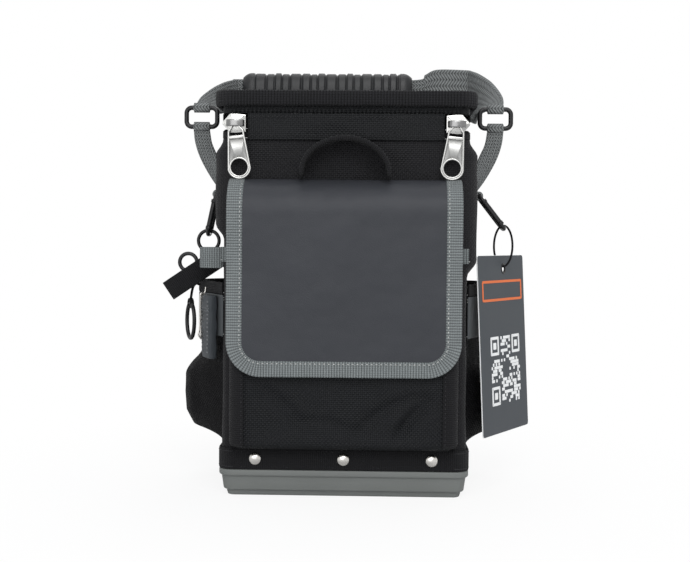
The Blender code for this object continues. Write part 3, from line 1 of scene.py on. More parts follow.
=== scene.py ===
# %% [markdown]
# # A tool pouch, dressed over its measured frame
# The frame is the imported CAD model: solids that already have the right size and
# joints. This notebook covers each solid with what the real one is made of: woven
# cloth, webbing, coated cloth, moulded plastic, rubber and plated metal.
# Most pieces are grids of points worked out with numpy, because a sewn pouch is
# strips and panels that follow simple curves. Lengths are in metres, +Z is up and
# the front of the pouch faces -Y.

# %% Load the frame
import math

import bpy
import numpy as np
from mathutils import Matrix, Vector


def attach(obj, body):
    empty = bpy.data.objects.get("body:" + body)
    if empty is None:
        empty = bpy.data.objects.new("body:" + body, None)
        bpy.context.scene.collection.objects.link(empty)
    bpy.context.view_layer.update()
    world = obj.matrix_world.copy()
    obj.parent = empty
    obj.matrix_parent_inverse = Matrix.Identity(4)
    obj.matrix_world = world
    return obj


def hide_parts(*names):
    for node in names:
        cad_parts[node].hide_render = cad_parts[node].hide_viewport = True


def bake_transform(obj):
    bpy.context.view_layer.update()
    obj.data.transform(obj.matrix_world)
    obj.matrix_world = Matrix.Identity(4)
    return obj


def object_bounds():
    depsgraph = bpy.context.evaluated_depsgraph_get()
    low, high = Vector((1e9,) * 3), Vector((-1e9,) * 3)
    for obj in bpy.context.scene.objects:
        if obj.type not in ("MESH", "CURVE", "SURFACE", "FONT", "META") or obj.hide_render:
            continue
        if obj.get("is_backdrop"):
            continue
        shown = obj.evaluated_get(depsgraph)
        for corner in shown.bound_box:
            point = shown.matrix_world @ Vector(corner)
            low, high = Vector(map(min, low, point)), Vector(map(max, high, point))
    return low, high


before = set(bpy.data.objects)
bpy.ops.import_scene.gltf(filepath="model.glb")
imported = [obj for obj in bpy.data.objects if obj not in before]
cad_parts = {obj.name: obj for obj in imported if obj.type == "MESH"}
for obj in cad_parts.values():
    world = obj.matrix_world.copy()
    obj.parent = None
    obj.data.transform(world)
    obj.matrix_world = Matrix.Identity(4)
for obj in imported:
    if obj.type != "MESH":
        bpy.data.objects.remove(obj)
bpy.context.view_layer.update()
scene = bpy.context.scene

# %% [markdown]
# ## From a grid to a mesh
# Every strip or panel is a grid: rows run along it and columns run across it.
# A cloth coordinate in metres is kept at each corner, so that a weave or a rib has
# its real pitch wherever the piece bends. A tube wraps its columns, a hoop wraps
# its rows, and a tube that isn't a hoop gets a flat face at the ends that are named.

# %% Grid helpers
def running_length(grid, axis):
    """Distance travelled along one axis of a grid, averaged over the other axis."""
    step = np.linalg.norm(np.diff(grid, axis=axis), axis=-1).mean(axis=1 - axis)
    return np.concatenate(([0.0], np.cumsum(step)))


def woven(grid, hoop=False, tube=False, ends=(0, 1)):
    """Squares between neighbouring points, and each corner's (across, along) in metres."""
    grid = np.asarray(grid, dtype=float)
    points = grid.reshape(-1, 3)
    rows, cols = grid.shape[:2]
    whole = np.concatenate((grid, grid[:1]), 0) if hoop else grid
    whole = np.concatenate((whole, whole[:, :1]), 1) if tube else whole
    along, across = running_length(whole, 0), running_length(whole, 1)
    row, col = np.arange(len(along) - 1)[:, None], np.arange(len(across) - 1)[None]
    corners = ((0, 0), (0, 1), (1, 1), (1, 0))
    faces = [(row + a) % rows * cols + (col + b) % cols for a, b in corners]
    cloth = [np.stack(np.broadcast_arrays(across[col + b], along[row + a]), -1) for a, b in corners]
    faces, cloth = np.stack(faces, -1).reshape(-1, 4), np.stack(cloth, -2).reshape(-1, 4, 2)
    caps = []
    if tube:
        p, q, r, s = (points[faces[:, k]] for k in range(4))
        inside_out = (np.cross(r - p, s - q) * ((p + r) / 2 - points.mean(0))).sum() < 0
        if inside_out:
            faces, cloth = faces[:, ::-1], cloth[:, ::-1]
        if not hoop:
            first, last = np.arange(cols), (rows - 1) * cols + np.arange(cols)
            both = (first, last[::-1]) if inside_out else (first[::-1], last)
            caps = [both[end] for end in ends]
    return points, faces, cloth, caps


def build(name, parts, smooth):
    """One object at the origin from several (points, faces, cloth, caps) parts."""
    points, faces, cloth, start = [], [], [], 0
    for part_points, part_faces, part_cloth, caps in parts:
        points.append(part_points)
        faces += (part_faces + start).tolist() + [(cap + start).tolist() for cap in caps]
        cloth.append(part_cloth.reshape(-1, 2))
        cloth += [np.zeros((len(cap), 2)) for cap in caps]
        start += len(part_points)
    mesh = bpy.data.meshes.new(name)
    mesh.from_pydata(np.concatenate(points).tolist(), [], faces)
    layer = mesh.uv_layers.new(name="Cloth")
    layer.data.foreach_set("uv", np.concatenate(cloth).ravel())
    mesh.polygons.foreach_set("use_smooth", np.full(len(faces), smooth))
    mesh.update()
    piece = bpy.data.objects.new(name, mesh)
    scene.collection.objects.link(piece)
    return piece


def dress(name, finish, *parts, body="shell", nodes=(), slot=None, thick=None, bevel=None, smooth=True):
    """Build a piece in its finish, riding on a body and standing for some CAD nodes.

    thick is (thickness, offset) and turns a single sheet into cloth; bevel is
    (width, segments) and rounds sharp edges so that they catch light.
    """
    piece = build(name, parts, smooth)
    if thick:
        solid = piece.modifiers.new("thickness", "SOLIDIFY")
        solid.thickness, solid.offset = thick
        solid.use_even_offset = True
    if bevel:
        edges = piece.modifiers.new("edges", "BEVEL")
        edges.width, edges.segments = bevel
        edges.limit_method, edges.angle_limit = "ANGLE", math.radians(35)
    piece.data.materials.append(finish.material)
    if body:
        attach(piece, body)
    if nodes:
        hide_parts(*nodes)
    print(f"{name}: {len(piece.data.polygons)} faces")
    return piece


# %% Curve helpers
UP = np.array((0.0, 0.0, 1.0))
BACK = np.array((0.0, 1.0, 0.0))


def arc(centre, radius, start_deg, end_deg, steps):
    """Points at centre + radius * (cos, sin) from one angle to another."""
    angle = np.radians(np.linspace(start_deg, end_deg, steps + 1))
    return centre + radius * np.stack((np.cos(angle), np.sin(angle)), -1)


def rounded(half_x, half_y, radius, steps=8):
    """Outline of a rectangle with round corners, anticlockwise from its right side."""
    corners = ((1, 1, 0), (-1, 1, 90), (-1, -1, 180), (1, -1, 270))
    return np.concatenate([
        arc((x * (half_x - radius), y * (half_y - radius)), radius, start, start + 90, steps)
        for x, y, start in corners
    ])


def rejoined(line):
    """The line with its first point repeated at its end."""
    return np.concatenate((line, line[:1]))


def travelled(line):
    """Distance along a line to each of its points."""
    return np.concatenate(([0.0], np.cumsum(np.linalg.norm(np.diff(line, axis=0), axis=1))))


def even(points, count, closed=False):
    """The same line with its points at equal distances along it."""
    points = rejoined(points) if closed else np.asarray(points, dtype=float)
    run = travelled(points)
    want = np.linspace(0, run[-1], count, endpoint=not closed)
    return np.stack([np.interp(want, run, column) for column in points.T], -1)


def smooth_line(points, count):
    """A curve through given points: each stretch is the cubic blend of four of them."""
    points = np.asarray(points, dtype=float)
    last = len(points) - 1
    place = np.linspace(0, last, count)
    base = np.minimum(np.floor(place).astype(int), last - 1)
    t = (place - base)[:, None]
    p0, p1, p2, p3 = (points[np.clip(base + k, 0, last)] for k in (-1, 0, 1, 2))
    return 0.5 * (
        2 * p1 + (p2 - p0) * t + (2 * p0 - 5 * p1 + 4 * p2 - p3) * t ** 2
        + (3 * p1 - p0 - 3 * p2 + p3) * t ** 3
    )


def bay(centre, radius, ends, count, steps=10):
    """An even U: an arc about a centre at the right, then its ends, and the same mirrored."""
    right = np.concatenate((arc(centre, radius, 270, 360, steps), ends))
    return even(np.concatenate((right[::-1] * (-1, 1), right)), count)


def unit(vectors):
    """Vectors divided by their own lengths."""
    return vectors / np.linalg.norm(vectors, axis=-1, keepdims=True)


def heading(path, closed=False):
    """Direction of travel at each point: the line from the point before to the one after."""
    if closed:
        return unit(np.roll(path, -1, 0) - np.roll(path, 1, 0))
    return unit(np.gradient(path, axis=0))


def normals(line, closed=False):
    """Directions square to a flat line, to the right of its travel."""
    travel = heading(line, closed)
    return np.stack((travel[:, 1], -travel[:, 0]), -1)


def beside(path, up, closed=False):
    """Directions square to a path's travel and to an up way, to the right of the travel."""
    return unit(np.cross(heading(path, closed), up))


def shrunk(outline, amount):
    """A closed outline moved inwards by an amount along its own normals."""
    after = np.roll(outline, -1, 0)
    turn = np.sign((outline[:, 0] * after[:, 1] - outline[:, 1] * after[:, 0]).sum())
    return outline - normals(outline, True) * amount * turn


def levelled(line, height):
    """A flat (x, y) line laid at a height."""
    return np.column_stack((line, np.full(len(line), height)))


def upright(points, y, centre=(0.0, 0.0)):
    """Flat (right, up) points moved to a centre and stood up in the plane at y."""
    right, up = (np.asarray(points, float) + centre).T
    return np.stack((right, np.full(len(right), y), up), -1)


def risen(plan, way, out, up):
    """Grid of a flat plan at each height of the column up: plan + way * out."""
    flat = plan + way * out[..., None]
    return np.concatenate((flat, np.broadcast_to(up[..., None], (*flat.shape[:2], 1))), -1)


# %% Shape helpers
def carried(path, side, up, section, closed=False):
    """A section drawn along a path: path + side * across + up * rise at each station."""
    side, up = (np.broadcast_to(v, path.shape)[:, None] for v in (side, up))
    section = np.asarray(section, dtype=float)
    grid = path[:, None] + side * section[..., 0, None] + up * section[..., 1, None]
    return woven(grid, hoop=closed, tube=True)


def flat_oval(width, thick, corner=0.3, count=24):
    """A strap's section: half sizes times cos and sin, each raised to a small power."""
    angle = np.linspace(0, 2 * np.pi, count, endpoint=False)
    turn = np.stack((np.cos(angle), np.sin(angle)), -1)
    return np.sign(turn) * np.abs(turn) ** corner * (width / 2, thick / 2)


def taper(section, factor):
    """The same section at each station, with its rise times that station's factor."""
    return section[None] * np.stack((np.ones(len(factor)), factor), -1)[:, None]


def ribbon(path, up, section, closed=False):
    """A section drawn along a path, its width beside the path and its rise along up."""
    return carried(path, beside(path, up, closed), up, section, closed)


def wire(path, radius, facing, closed=True, count=12):
    """A round bar along a line that lies flat when seen along the facing way."""
    return ribbon(path, facing, flat_oval(2 * radius, 2 * radius, 1, count), closed)


def spun(profile, centre, axis, side, hoop=False):
    """A profile of (radius, rise) spun about an axis through the centre, starting at a side."""
    profile, axis = np.asarray(profile, float), np.asarray(axis, float)
    angle = np.linspace(0, 2 * np.pi, 28, endpoint=False)[:, None]
    ring = np.cos(angle) * side + np.sin(angle) * np.cross(axis, side)
    grid = centre + profile[:, 0, None, None] * ring + profile[:, 1, None, None] * axis
    return woven(grid, hoop=hoop, tube=True)


def threads(path, facing, pitch=0.0032, length=0.0022, radius=0.00040):
    """Stitches: a stretched eight-sided bead at equal steps along a path, lying on it."""
    count = max(int(travelled(path)[-1] / pitch), 2)
    dense = even(np.concatenate((path, np.broadcast_to(facing, path.shape)), 1), count)
    centre, out = dense[:, :3], unit(dense[:, 3:])
    travel = heading(centre)
    side = np.cross(travel, out) * radius
    out, travel = out * radius, travel * length / 2
    beads = (centre - travel, centre + side, centre + out, centre - side, centre - out, centre + travel)
    face = np.array([(0, 2, 1), (0, 3, 2), (0, 4, 3), (0, 1, 4), (5, 1, 2), (5, 2, 3), (5, 3, 4), (5, 4, 1)])
    faces = (face[None] + 6 * np.arange(count)[:, None, None]).reshape(-1, 3)
    return np.stack(beads, 1).reshape(-1, 3), faces, np.zeros((len(faces), 3, 2)), []


def curtain(half, low, high, rows, cols, y, ripple, per_x, per_z):
    """An upright sheet at y, rippled by a depth times a sine across and a sine up."""
    x, z = np.linspace(-half, half, cols)[None], np.linspace(low, high, rows)[:, None]
    depth = y + ripple * np.sin(x * per_x) * np.sin(z * per_z)
    return woven(np.stack(np.broadcast_arrays(x, depth, z), -1))


print("helpers ready")

# %% [markdown]
# ## Finishes
# A finish is a node tree: a base colour with a little variation (on cloth and webbing
# also painted shade between threads and ribs), a roughness and a bump. Cloth patterns
# read the cloth coordinate kept on each piece, in metres, so a pitch of 1 mm is 1 mm.
# Moulded and plated pieces read Object coordinates. Each finish also carries the slot of the record that it
# stands for.

# %% Node helpers
class Nodes:
    """The emptied node tree of a material or a world, being wired up."""

    def __init__(self, owner):
        owner.use_nodes = True
        self.tree = owner.node_tree
        self.tree.nodes.clear()

    def node(self, kind, values, output=0, **settings):
        """Add a node, fill its sockets with numbers or links and return one output."""
        made = self.tree.nodes.new("ShaderNode" + kind)
        for name, value in settings.items():
            setattr(made, name, value)
        for socket, value in values.items():
            if isinstance(value, bpy.types.NodeSocket):
                self.tree.links.new(value, made.inputs[socket])
            else:
                made.inputs[socket].default_value = value
        return made.outputs[output] if made.outputs else None

    def maths(self, operation, first, second=0.0, third=0.0):
        """One operation on two or three numbers or links."""
        return self.node("Math", {0: first, 1: second, 2: third}, operation=operation)

    def span(self, value, low, high, to_low, to_high, **settings):
        """Stretch a number from one range to another and keep it inside."""
        return self.node("MapRange", {
            "Value": value, "From Min": low, "From Max": high, "To Min": to_low, "To Max": to_high,
        }, **settings)


class Finish(Nodes):
    """A material being wired up around one Principled shader."""

    def __init__(self, name, slot, colour, rough, metallic=0.0, specular=0.5, sheen=0.0):
        self.material = bpy.data.materials.new(name)
        super().__init__(self.material)
        self.slot = slot
        self.colour = (*colour, 1.0)
        self.shader = self.tree.nodes.new("ShaderNodeBsdfPrincipled")
        fixed = {
            "Base Color": self.colour, "Roughness": rough, "Metallic": metallic,
            "Specular IOR Level": specular, "Sheen Weight": sheen, "Sheen Roughness": 0.5,
        }
        for socket, value in fixed.items():
            self.shader.inputs[socket].default_value = value
        self.node("OutputMaterial", {0: self.shader.outputs[0]})
        self.place = self.node("TexCoord", {}, "Object")
        self.cloth = self.node("TexCoord", {}, "UV")

    def drive(self, socket, value):
        """Let a node's output set one of the shader's sockets."""
        self.tree.links.new(value, self.shader.inputs[socket])

    def cloth_axes(self):
        """Across and along, in metres, as two separate numbers."""
        return [self.node("SeparateXYZ", {0: self.cloth}, axis) for axis in (0, 1)]

    def noise(self, where, per_metre, detail=2.0, rough=0.5):
        """Clouds of a size given as a number to the metre."""
        return self.node("TexNoise", {
            "Vector": where, "Scale": per_metre, "Detail": detail, "Roughness": rough,
        })

    def mapped(self, where, scale):
        """A coordinate stretched along its axes."""
        return self.node("Mapping", {"Vector": where, "Scale": scale})

    def blended(self, *parts):
        """Several patterns added, each times its own share."""
        total = self.maths("MULTIPLY", *parts[-1])
        for pattern, share in parts[-2::-1]:
            total = self.maths("MULTIPLY_ADD", pattern, share, total)
        return total

    def ridges(self, across, pitch):
        """Rounded ribs: the absolute sine of distance over pitch."""
        angle = self.maths("MULTIPLY", across, math.pi / pitch)
        return self.maths("ABSOLUTE", self.maths("SINE", angle))

    def shade(self, amount, dark, light):
        """Base colour times a factor that runs from dark to light with the amount."""
        factor = self.span(amount, 0.0, 1.0, dark, light)
        self.drive("Base Color", self.node("VectorMath", {0: self.colour[:3], 3: factor}, operation="SCALE"))

    def rough(self, amount, low, high):
        """Roughness that runs from low to high with the amount."""
        self.drive("Roughness", self.span(amount, 0.0, 1.0, low, high))

    def bump(self, *layers):
        """Stack height patterns: each layer is (height, depth in metres)."""
        normal = {}
        for height, depth in layers:
            values = {"Height": height, "Distance": depth, "Strength": 1.0, **normal}
            normal = {"Normal": self.node("Bump", values)}
        self.drive("Normal", normal["Normal"])


def nylon(name, slot, colour, gloss):
    """Ballistic nylon: a plain weave, thread over thread, in a slightly uneven black with painted shade
    between the threads.
    """
    cloth, pitch = Finish(name, slot, colour, 0.55, specular=gloss), 0.0016
    across, along = cloth.cloth_axes()
    in_threads = cloth.node("VectorMath", {0: cloth.cloth, 3: 1 / pitch}, operation="SCALE")
    over = cloth.node("TexChecker", {"Vector": in_threads, "Scale": 1.0}, 1)
    warp, weft = cloth.ridges(across, pitch), cloth.ridges(along, pitch)
    under = cloth.maths("SUBTRACT", 1.0, over)
    thread = cloth.maths("ADD", cloth.maths("MULTIPLY", warp, over), cloth.maths("MULTIPLY", weft, under))
    patch, fuzz = cloth.noise(cloth.cloth, 60.0, 4.0, 0.6), cloth.noise(cloth.cloth, 900.0)
    # the thread pattern in the base colour is painted shade and painted highlight: darker in the valleys
    # between threads, lighter on their crowns; patch and fuzz are uneven tone
    cloth.shade(cloth.blended((fuzz, 0.2), (thread, 0.55), (patch, 0.35)), 0.45, 1.6)
    cloth.rough(patch, 0.48, 0.66)
    cloth.bump((patch, 0.0022), (thread, pitch * 0.25), (fuzz, 0.0001))
    return cloth


def webbing(name, slot, colour, pitch, rows=0.0, dark=0.5, light=1.35):
    """Webbing: ribs across the strap, split into rows of chevrons where rows is given, with painted shade in
    the rib valleys.
    """
    tape = Finish(name, slot, colour, 0.8, specular=0.1, sheen=0.04)
    across, along = tape.cloth_axes()
    run = tape.maths("ADD", tape.maths("PINGPONG", across, rows), along) if rows else along
    rib, yarn = tape.ridges(run, pitch), tape.ridges(across, rows or pitch * 0.8)
    patch = tape.noise(tape.cloth, 70.0, 3.0)
    # ribs and yarn in the base colour are painted shade in their valleys and painted highlight on their
    # crowns, from dark to light; the patch is uneven tone
    tape.shade(tape.blended((patch, 0.25), (rib, 0.6), (yarn, 0.25)), dark, light)
    tape.rough(patch, 0.7, 0.92)
    tape.bump((rib, pitch * 0.3), (yarn, pitch * 0.12), (tape.noise(tape.cloth, 1500.0), 0.00008))
    return tape


def vinyl(name, slot, colour, rough):
    """Coated cloth: a fine pebbled grain, broad soft waves, faint rubbed marks."""
    skin = Finish(name, slot, colour, rough, specular=0.16)
    grain = skin.node("TexVoronoi", {"Vector": skin.cloth, "Scale": 1300.0})
    broad = skin.noise(skin.cloth, 14.0, 3.0, 0.55)
    rub = skin.noise(skin.mapped(skin.cloth, (1.0, 0.25, 1.0)), 160.0, 5.0, 0.7)
    rubbed = skin.span(rub, 0.62, 0.8, 0.0, 1.0)
    skin.shade(skin.blended((broad, 0.75), (rubbed, 0.25)), 0.80, 1.20)
    skin.rough(skin.maths("MULTIPLY_ADD", broad, 0.7, rubbed), rough - 0.06, rough + 0.1)
    skin.bump((broad, 0.0042), (grain, 0.00007))
    return skin


def moulded(name, slot, colour, rough, grain=0.00012, per_metre=1400.0):
    """Moulded plastic or rubber: an even fine grain and slightly rubbed high spots."""
    stuff = Finish(name, slot, colour, rough, specular=0.3)
    fine, broad = stuff.noise(stuff.place, per_metre), stuff.noise(stuff.place, 30.0, 3.0)
    stuff.shade(stuff.blended((fine, 0.3), (broad, 0.6)), 0.85, 1.15)
    stuff.rough(broad, rough - 0.07, rough + 0.09)
    stuff.bump((fine, grain))
    return stuff


def metal(name, slot, colour, rough, metallic=1.0, brushed=(1.0, 1.0, 1.0)):
    """Plated or painted metal: fine drag marks, small dings and handled patches."""
    plate = Finish(name, slot, colour, rough, metallic)
    drag = plate.noise(plate.mapped(plate.place, brushed), 700.0, 3.0)
    handled = plate.noise(plate.place, 90.0, 3.0)
    plate.shade(handled, 0.86, 1.1)
    plate.rough(plate.blended((drag, 0.5), (handled, 0.5)), max(rough - 0.1, 0.05), rough + 0.14)
    plate.bump((drag, 0.00003), (handled, 0.0001))
    return plate


# %% The finishes of this pouch
BODY_CLOTH = nylon("body cloth", "black_nylon", (0.0105, 0.0105, 0.0115), 0.12)
# painted shade: the side pockets' black nylon is the body cloth made much darker, because the sides of the
# pouch get less light than its front
SHADED_SIDE_CLOTH = nylon("side cloth with painted shade", "black_nylon", (0.0030, 0.0030, 0.0034), 0.04)
POCKET_CLOTH = nylon("pocket cloth", "pocket_nylon", (0.0060, 0.0066, 0.0076), 0.16)
LID_CLOTH = nylon("lid cloth", "black_nylon", (0.0080, 0.0086, 0.0094), 0.15)
# dark and light of a webbing set how far its painted rib shade and painted rib highlight go: the lid roll,
# grey binding and grey strap carry strong ones
BLACK_TAPE = webbing("black tape", "black_webbing", (0.0105, 0.0105, 0.0115), 0.0016)
ROLL_TAPE = webbing("lid roll tape", "black_webbing", (0.0080, 0.0080, 0.0088), 0.0026, light=2.2)
GREY_TAPE = webbing("grey binding tape", "grey_webbing", (0.138, 0.151, 0.153), 0.0021, 0, 0.40, 1.6)
STRAP = webbing("grey strap", "handle_webbing", (0.140, 0.147, 0.147), 0.0027, 0.0036, 0.12, 1.75)
FLAP_SKIN = vinyl("flap skin", "grey_vinyl", (0.0375, 0.0398, 0.0460), 0.46)
MOUNT_SKIN = vinyl("mount skin", "grey_vinyl", (0.044, 0.050, 0.056), 0.5)
SIDE_SKIN = vinyl("side skin", "grey_vinyl", (0.085, 0.092, 0.097), 0.55)
BASE = moulded("base plastic", "base_plastic", (0.155, 0.164, 0.158), 0.5)
RUBBER = moulded("grip rubber", "black_rubber", (0.0165, 0.0172, 0.0185), 0.42, 0.0002, 900.0)
BLACK_METAL = metal("black metal", "black_metal", (0.012, 0.012, 0.013), 0.36, 0.5)
NICKEL = metal("nickel", "nickel", (0.62, 0.60, 0.57), 0.24)
ZIP_METAL = metal("zip metal", "zip_metal", (0.40, 0.40, 0.39), 0.25)
# painted shade: the bridge is a darker copy of the zip metal, standing in for the shadow in the grooves
# between bridge and plate
SHADED_BRIDGE_METAL = metal("zip bridge painted shade", "zip_metal", (0.23, 0.23, 0.23), 0.22)
PULL_PANEL = metal("pull panel", "zip_metal", (0.44, 0.44, 0.43), 0.48)
STEEL = metal("clip steel", "steel", (0.42, 0.42, 0.43), 0.3, brushed=(0.05, 1.0, 1.0))
COIL = moulded("zip teeth", "zip_coil", (0.014, 0.014, 0.015), 0.36, 0.00003)
CARD = moulded("tag card", "tag_card", (0.043, 0.050, 0.058), 0.48, 0.00002)
CARD_FRAME = moulded("tag frame", "tag_card", (0.75, 0.165, 0.045), 0.5, 0.00002)
CARD_LIGHT = moulded("tag light marks", "tag_card", (0.86, 0.87, 0.87), 0.5, 0.00002)
CORD = webbing("string", "string", (0.009, 0.009, 0.010), 0.0012)
PALE_THREAD = moulded("pale thread", "grey_vinyl", (0.46, 0.47, 0.46), 0.7, 0.0001)
GREY_THREAD = moulded("grey thread", "grey_vinyl", (0.21, 0.22, 0.23), 0.7, 0.0001)
DARK_THREAD = moulded("dark thread", "black_webbing", (0.022, 0.022, 0.024), 0.7, 0.0001)
print(len(bpy.data.materials), "materials")

# %% [markdown]
# ## Body, base and skirt
# The body is one tube of cloth with round corners. Cloth between seams is never quite
# flat, so shallow slanted waves draw it inwards, and fade out where it is sewn. Its
# sides bow out above the side pockets.
# The moulded base is a stack of outlines: each step of its section moves the same
# rounded rectangle in or out and up.

# %% Body shell
HALF_WIDE, HALF_DEEP, CORNER = 0.098, 0.065, 0.010
BODY_LOW, BODY_HIGH = 0.0224, 0.2849
FRONT_BOW, REAR_BOW = 0.0075, 0.0050
SIDES = (("left", -1), ("right", 1))


def waves(across, up, depth, seed):
    """Slanted folds: three sines of unlike pitch added, squeezed to run from 0 to depth."""
    total = (
        np.sin(across * 61 + up * 43 + seed) + 0.7 * np.sin(up * 97 - across * 29 + 2.1 * seed)
        + 0.5 * np.sin(across * 131 + up * 19 + 0.7 * seed)
    )
    return depth * (0.5 + total / 4.4)


def fade(value, low, high, over):
    """1 well between low and high, easing to 0 at both over the given distance."""
    ramp = np.clip(np.minimum(value - low, high - value) / over, 0, 1)
    return ramp * ramp * (3 - 2 * ramp)


plan = even(rounded(HALF_WIDE, HALF_DEEP, CORNER, 10), 240, closed=True)
up = np.linspace(BODY_LOW, BODY_HIGH, 90)[:, None]
drawn = waves(np.linspace(0, 0.62, len(plan)), up, 0.0016, 1.3) * fade(up, 0.045, 0.28, 0.02)
pocket_top = np.where(plan[:, 0] < 0, 0.204, 0.176)
bow = FRONT_BOW * fade(plan[:, 1], -0.0640, -0.0130, 0.016) * fade(up, pocket_top, 0.2848, 0.013)
bow = bow + REAR_BOW * fade(plan[:, 1], 0.0190, 0.0640, 0.016) * fade(up, 0.176, 0.2835, 0.03)
shell = woven(risen(plan, normals(plan, True), bow - drawn, up), tube=True, ends=())
dress("body_shell", BODY_CLOTH, shell, thick=(0.0022, -1.0),
      nodes=("front_panel", "back_panel", "left_panel", "right_panel"))

# %% Moulded base
corner_normals = np.concatenate([arc((0, 0), 1.0, turn, turn + 90, 8) for turn in (0, 90, 180, 270)])
base_section = np.array([
    (-0.0092, 0.0), (-0.0072, 0.0006), (-0.0065, 0.0025), (-0.0060, 0.0046), (-0.0042, 0.0052),
    (-0.0036, 0.0058), (-0.0027, 0.0120), (-0.0020, 0.0163), (-0.0010, 0.0168), (-0.0002, 0.0174),
    (0.0, 0.0182), (0.0, 0.0215), (-0.0006, 0.0220), (-0.0048, 0.0220), (-0.0048, 0.0398),
    (-0.0070, 0.0398), (-0.0070, 0.0220), (-0.0087, 0.0034), (-0.0100, 0.0030),
])
base = risen(rounded(0.100, 0.067, 0.012), corner_normals, base_section[:, :1], base_section[:, 1:])
dress("moulded_base", BASE, woven(base, tube=True), nodes=("base_tray",), bevel=(0.0005, 2))

# %% Skirt webbing with its two stitch rows
SKIRT_Z, ROW_LIFT = 0.03065, 0.0062
path = levelled(rounded(HALF_WIDE, HALF_DEEP, CORNER), SKIRT_Z)
out = levelled(corner_normals, 0.0)
skirt = carried(path + out * 0.0013, out, UP, flat_oval(0.0020, 0.0166, 0.35), closed=True)
dress("skirt_webbing", BLACK_TAPE, skirt, nodes=("skirt_band",))
path, out = rejoined(path), rejoined(out)
dress("skirt_stitches", DARK_THREAD, *[
    threads(path + out * 0.00225 + UP * lift, out, 0.0034, 0.0024, 0.00028) for lift in (-ROW_LIFT, ROW_LIFT)
])

# %% Rivets: domed caps at the front and the back
dome = [(0.0018, -0.0080), (0.0018, -0.0001), (0.0047, -0.0001), (0.0049, 0.0003), (0.0047, 0.0007),
        (0.0042, 0.0011), (0.0033, 0.0016), (0.0022, 0.0020), (0.0011, 0.0022), (0.0002, 0.00225)]
dress("rivets", NICKEL, *[
    spun(dome, (x, side * 0.0676, 0.031), (0, side, 0), (1.0, 0.0, 0.0))
    for x in (-0.070, 0.0, 0.070) for side in (-1, 1)
], nodes=[f"rivet_{face}_{word}" for face in ("front", "back") for word in ("left", "centre", "right")])

# %% [markdown]
# ## Front pocket
# The pocket is a bellows: a U of cloth whose ends are sewn to the body, drawn in at
# its foot. A band of grey tape finishes its mouth and runs on to the body's corners.

# %% Front pocket
POCKET_X, POCKET_Y, POCKET_ROUND = 0.079, -0.0758, 0.009
POCKET_LOW, POCKET_HIGH = 0.0412, 0.1986
# x and z of a crease's middle, its slope in degrees, half length and depth
CREASES = ((0.052, 0.066, 52, 0.030, 0.00510), (0.034, 0.074, 30, 0.034, 0.00374),
           (-0.048, 0.078, -38, 0.030, 0.00306), (-0.010, 0.062, -12, 0.034, 0.00272))
plan = bay((POCKET_X, POCKET_Y), POCKET_ROUND, [(0.088, -0.0656)], 120)
out = levelled(normals(plan), 0.0)
lift = np.linspace(0, 1, 60)[:, None]
up = POCKET_LOW + (POCKET_HIGH - POCKET_LOW) * lift
foot = -0.0046 * np.clip(1 - lift / 0.035, 0, 1) ** 2
slack = waves(np.linspace(0, 0.21, 120), up, 0.0024, 4.0)
for x, z, degrees, run, depth in CREASES:
    tilt = math.radians(degrees)
    right, rise = plan[:, 0] - x, up - z
    lengthwise = right * math.cos(tilt) + rise * math.sin(tilt)
    crosswise = rise * math.cos(tilt) - right * math.sin(tilt) + 6.0 * lengthwise ** 2
    slack = slack + depth * np.exp(-(crosswise / 0.0050) ** 2 - (lengthwise / run) ** 2)
slack *= fade(up, 0.043, 0.190, 0.016) * fade(plan[:, 0], -0.078, 0.078, 0.020)
pocket_grid = risen(plan, out[:, :2], foot - slack, up)
dress("front_pocket_cloth", POCKET_CLOTH, woven(pocket_grid), nodes=("front_pocket",), thick=(0.0020, -1.0))

# %% Tape and piping down the pocket's edges
count = len(plan)
taped = int(np.searchsorted(plan[:, 0], -0.0765))
for word, cut, inner in (("left", slice(0, taped), taped - 2),
                         ("right", slice(count - taped, count), count - taped + 1)):
    tape = woven(pocket_grid[1:-3, cut] + 0.0008 * out[cut])
    dress(f"{word}_pocket_edge_tape", BLACK_TAPE, tape, thick=(0.0010, 1.0))
    line = pocket_grid[1:-3, inner] + 0.0019 * out[inner]
    dress(f"{word}_pocket_edge_stitches", DARK_THREAD, threads(line, out[inner], 0.0034, 0.0025))
pipes = []
for side in (-1, 1):
    x, y = side * (POCKET_X + 0.72 * POCKET_ROUND), POCKET_Y - 0.72 * POCKET_ROUND
    line = np.linspace((x, y, 0.046), (x, y, 0.186), 40)
    pipes.append(wire(line, 0.0011, (side * 0.7071, -0.7071, 0.0), closed=False))
dress("pocket_piping", BLACK_TAPE, *pipes)

# %% Grey band round the pocket's mouth
BAND_Z = 0.193
band_plan = bay((POCKET_X, POCKET_Y), POCKET_ROUND + 0.0011, [(0.0905, -0.0664), (0.0976, -0.0663)], 160)
path = levelled(band_plan, BAND_Z)
out = beside(path, UP)
band = carried(path, out, UP, flat_oval(0.0013, 0.0119, 0.35))
dress("front_pocket_band", GREY_TAPE, band, nodes=("front_pocket_binding",))
seam = threads(path + out * 0.0008 - UP * 0.0042, out)
dress("front_pocket_band_stitches", PALE_THREAD, seam, slot="grey_webbing")

# %% Hook and loop patches
PATCH_HALF, PATCH_Z = 0.030, 0.1325
for name, body, y, node in (("hook_side_patch", "shell", -0.0857, "hook_patch"),
                            ("loop_side_patch", "front_flap", -0.0872, "flap_patch")):
    line = np.linspace((-PATCH_HALF, y, PATCH_Z), (PATCH_HALF, y, PATCH_Z), 31)
    dress(name, BODY_CLOTH, carried(line, BACK, UP, flat_oval(0.0011, 0.0248)), body=body, nodes=(node,))
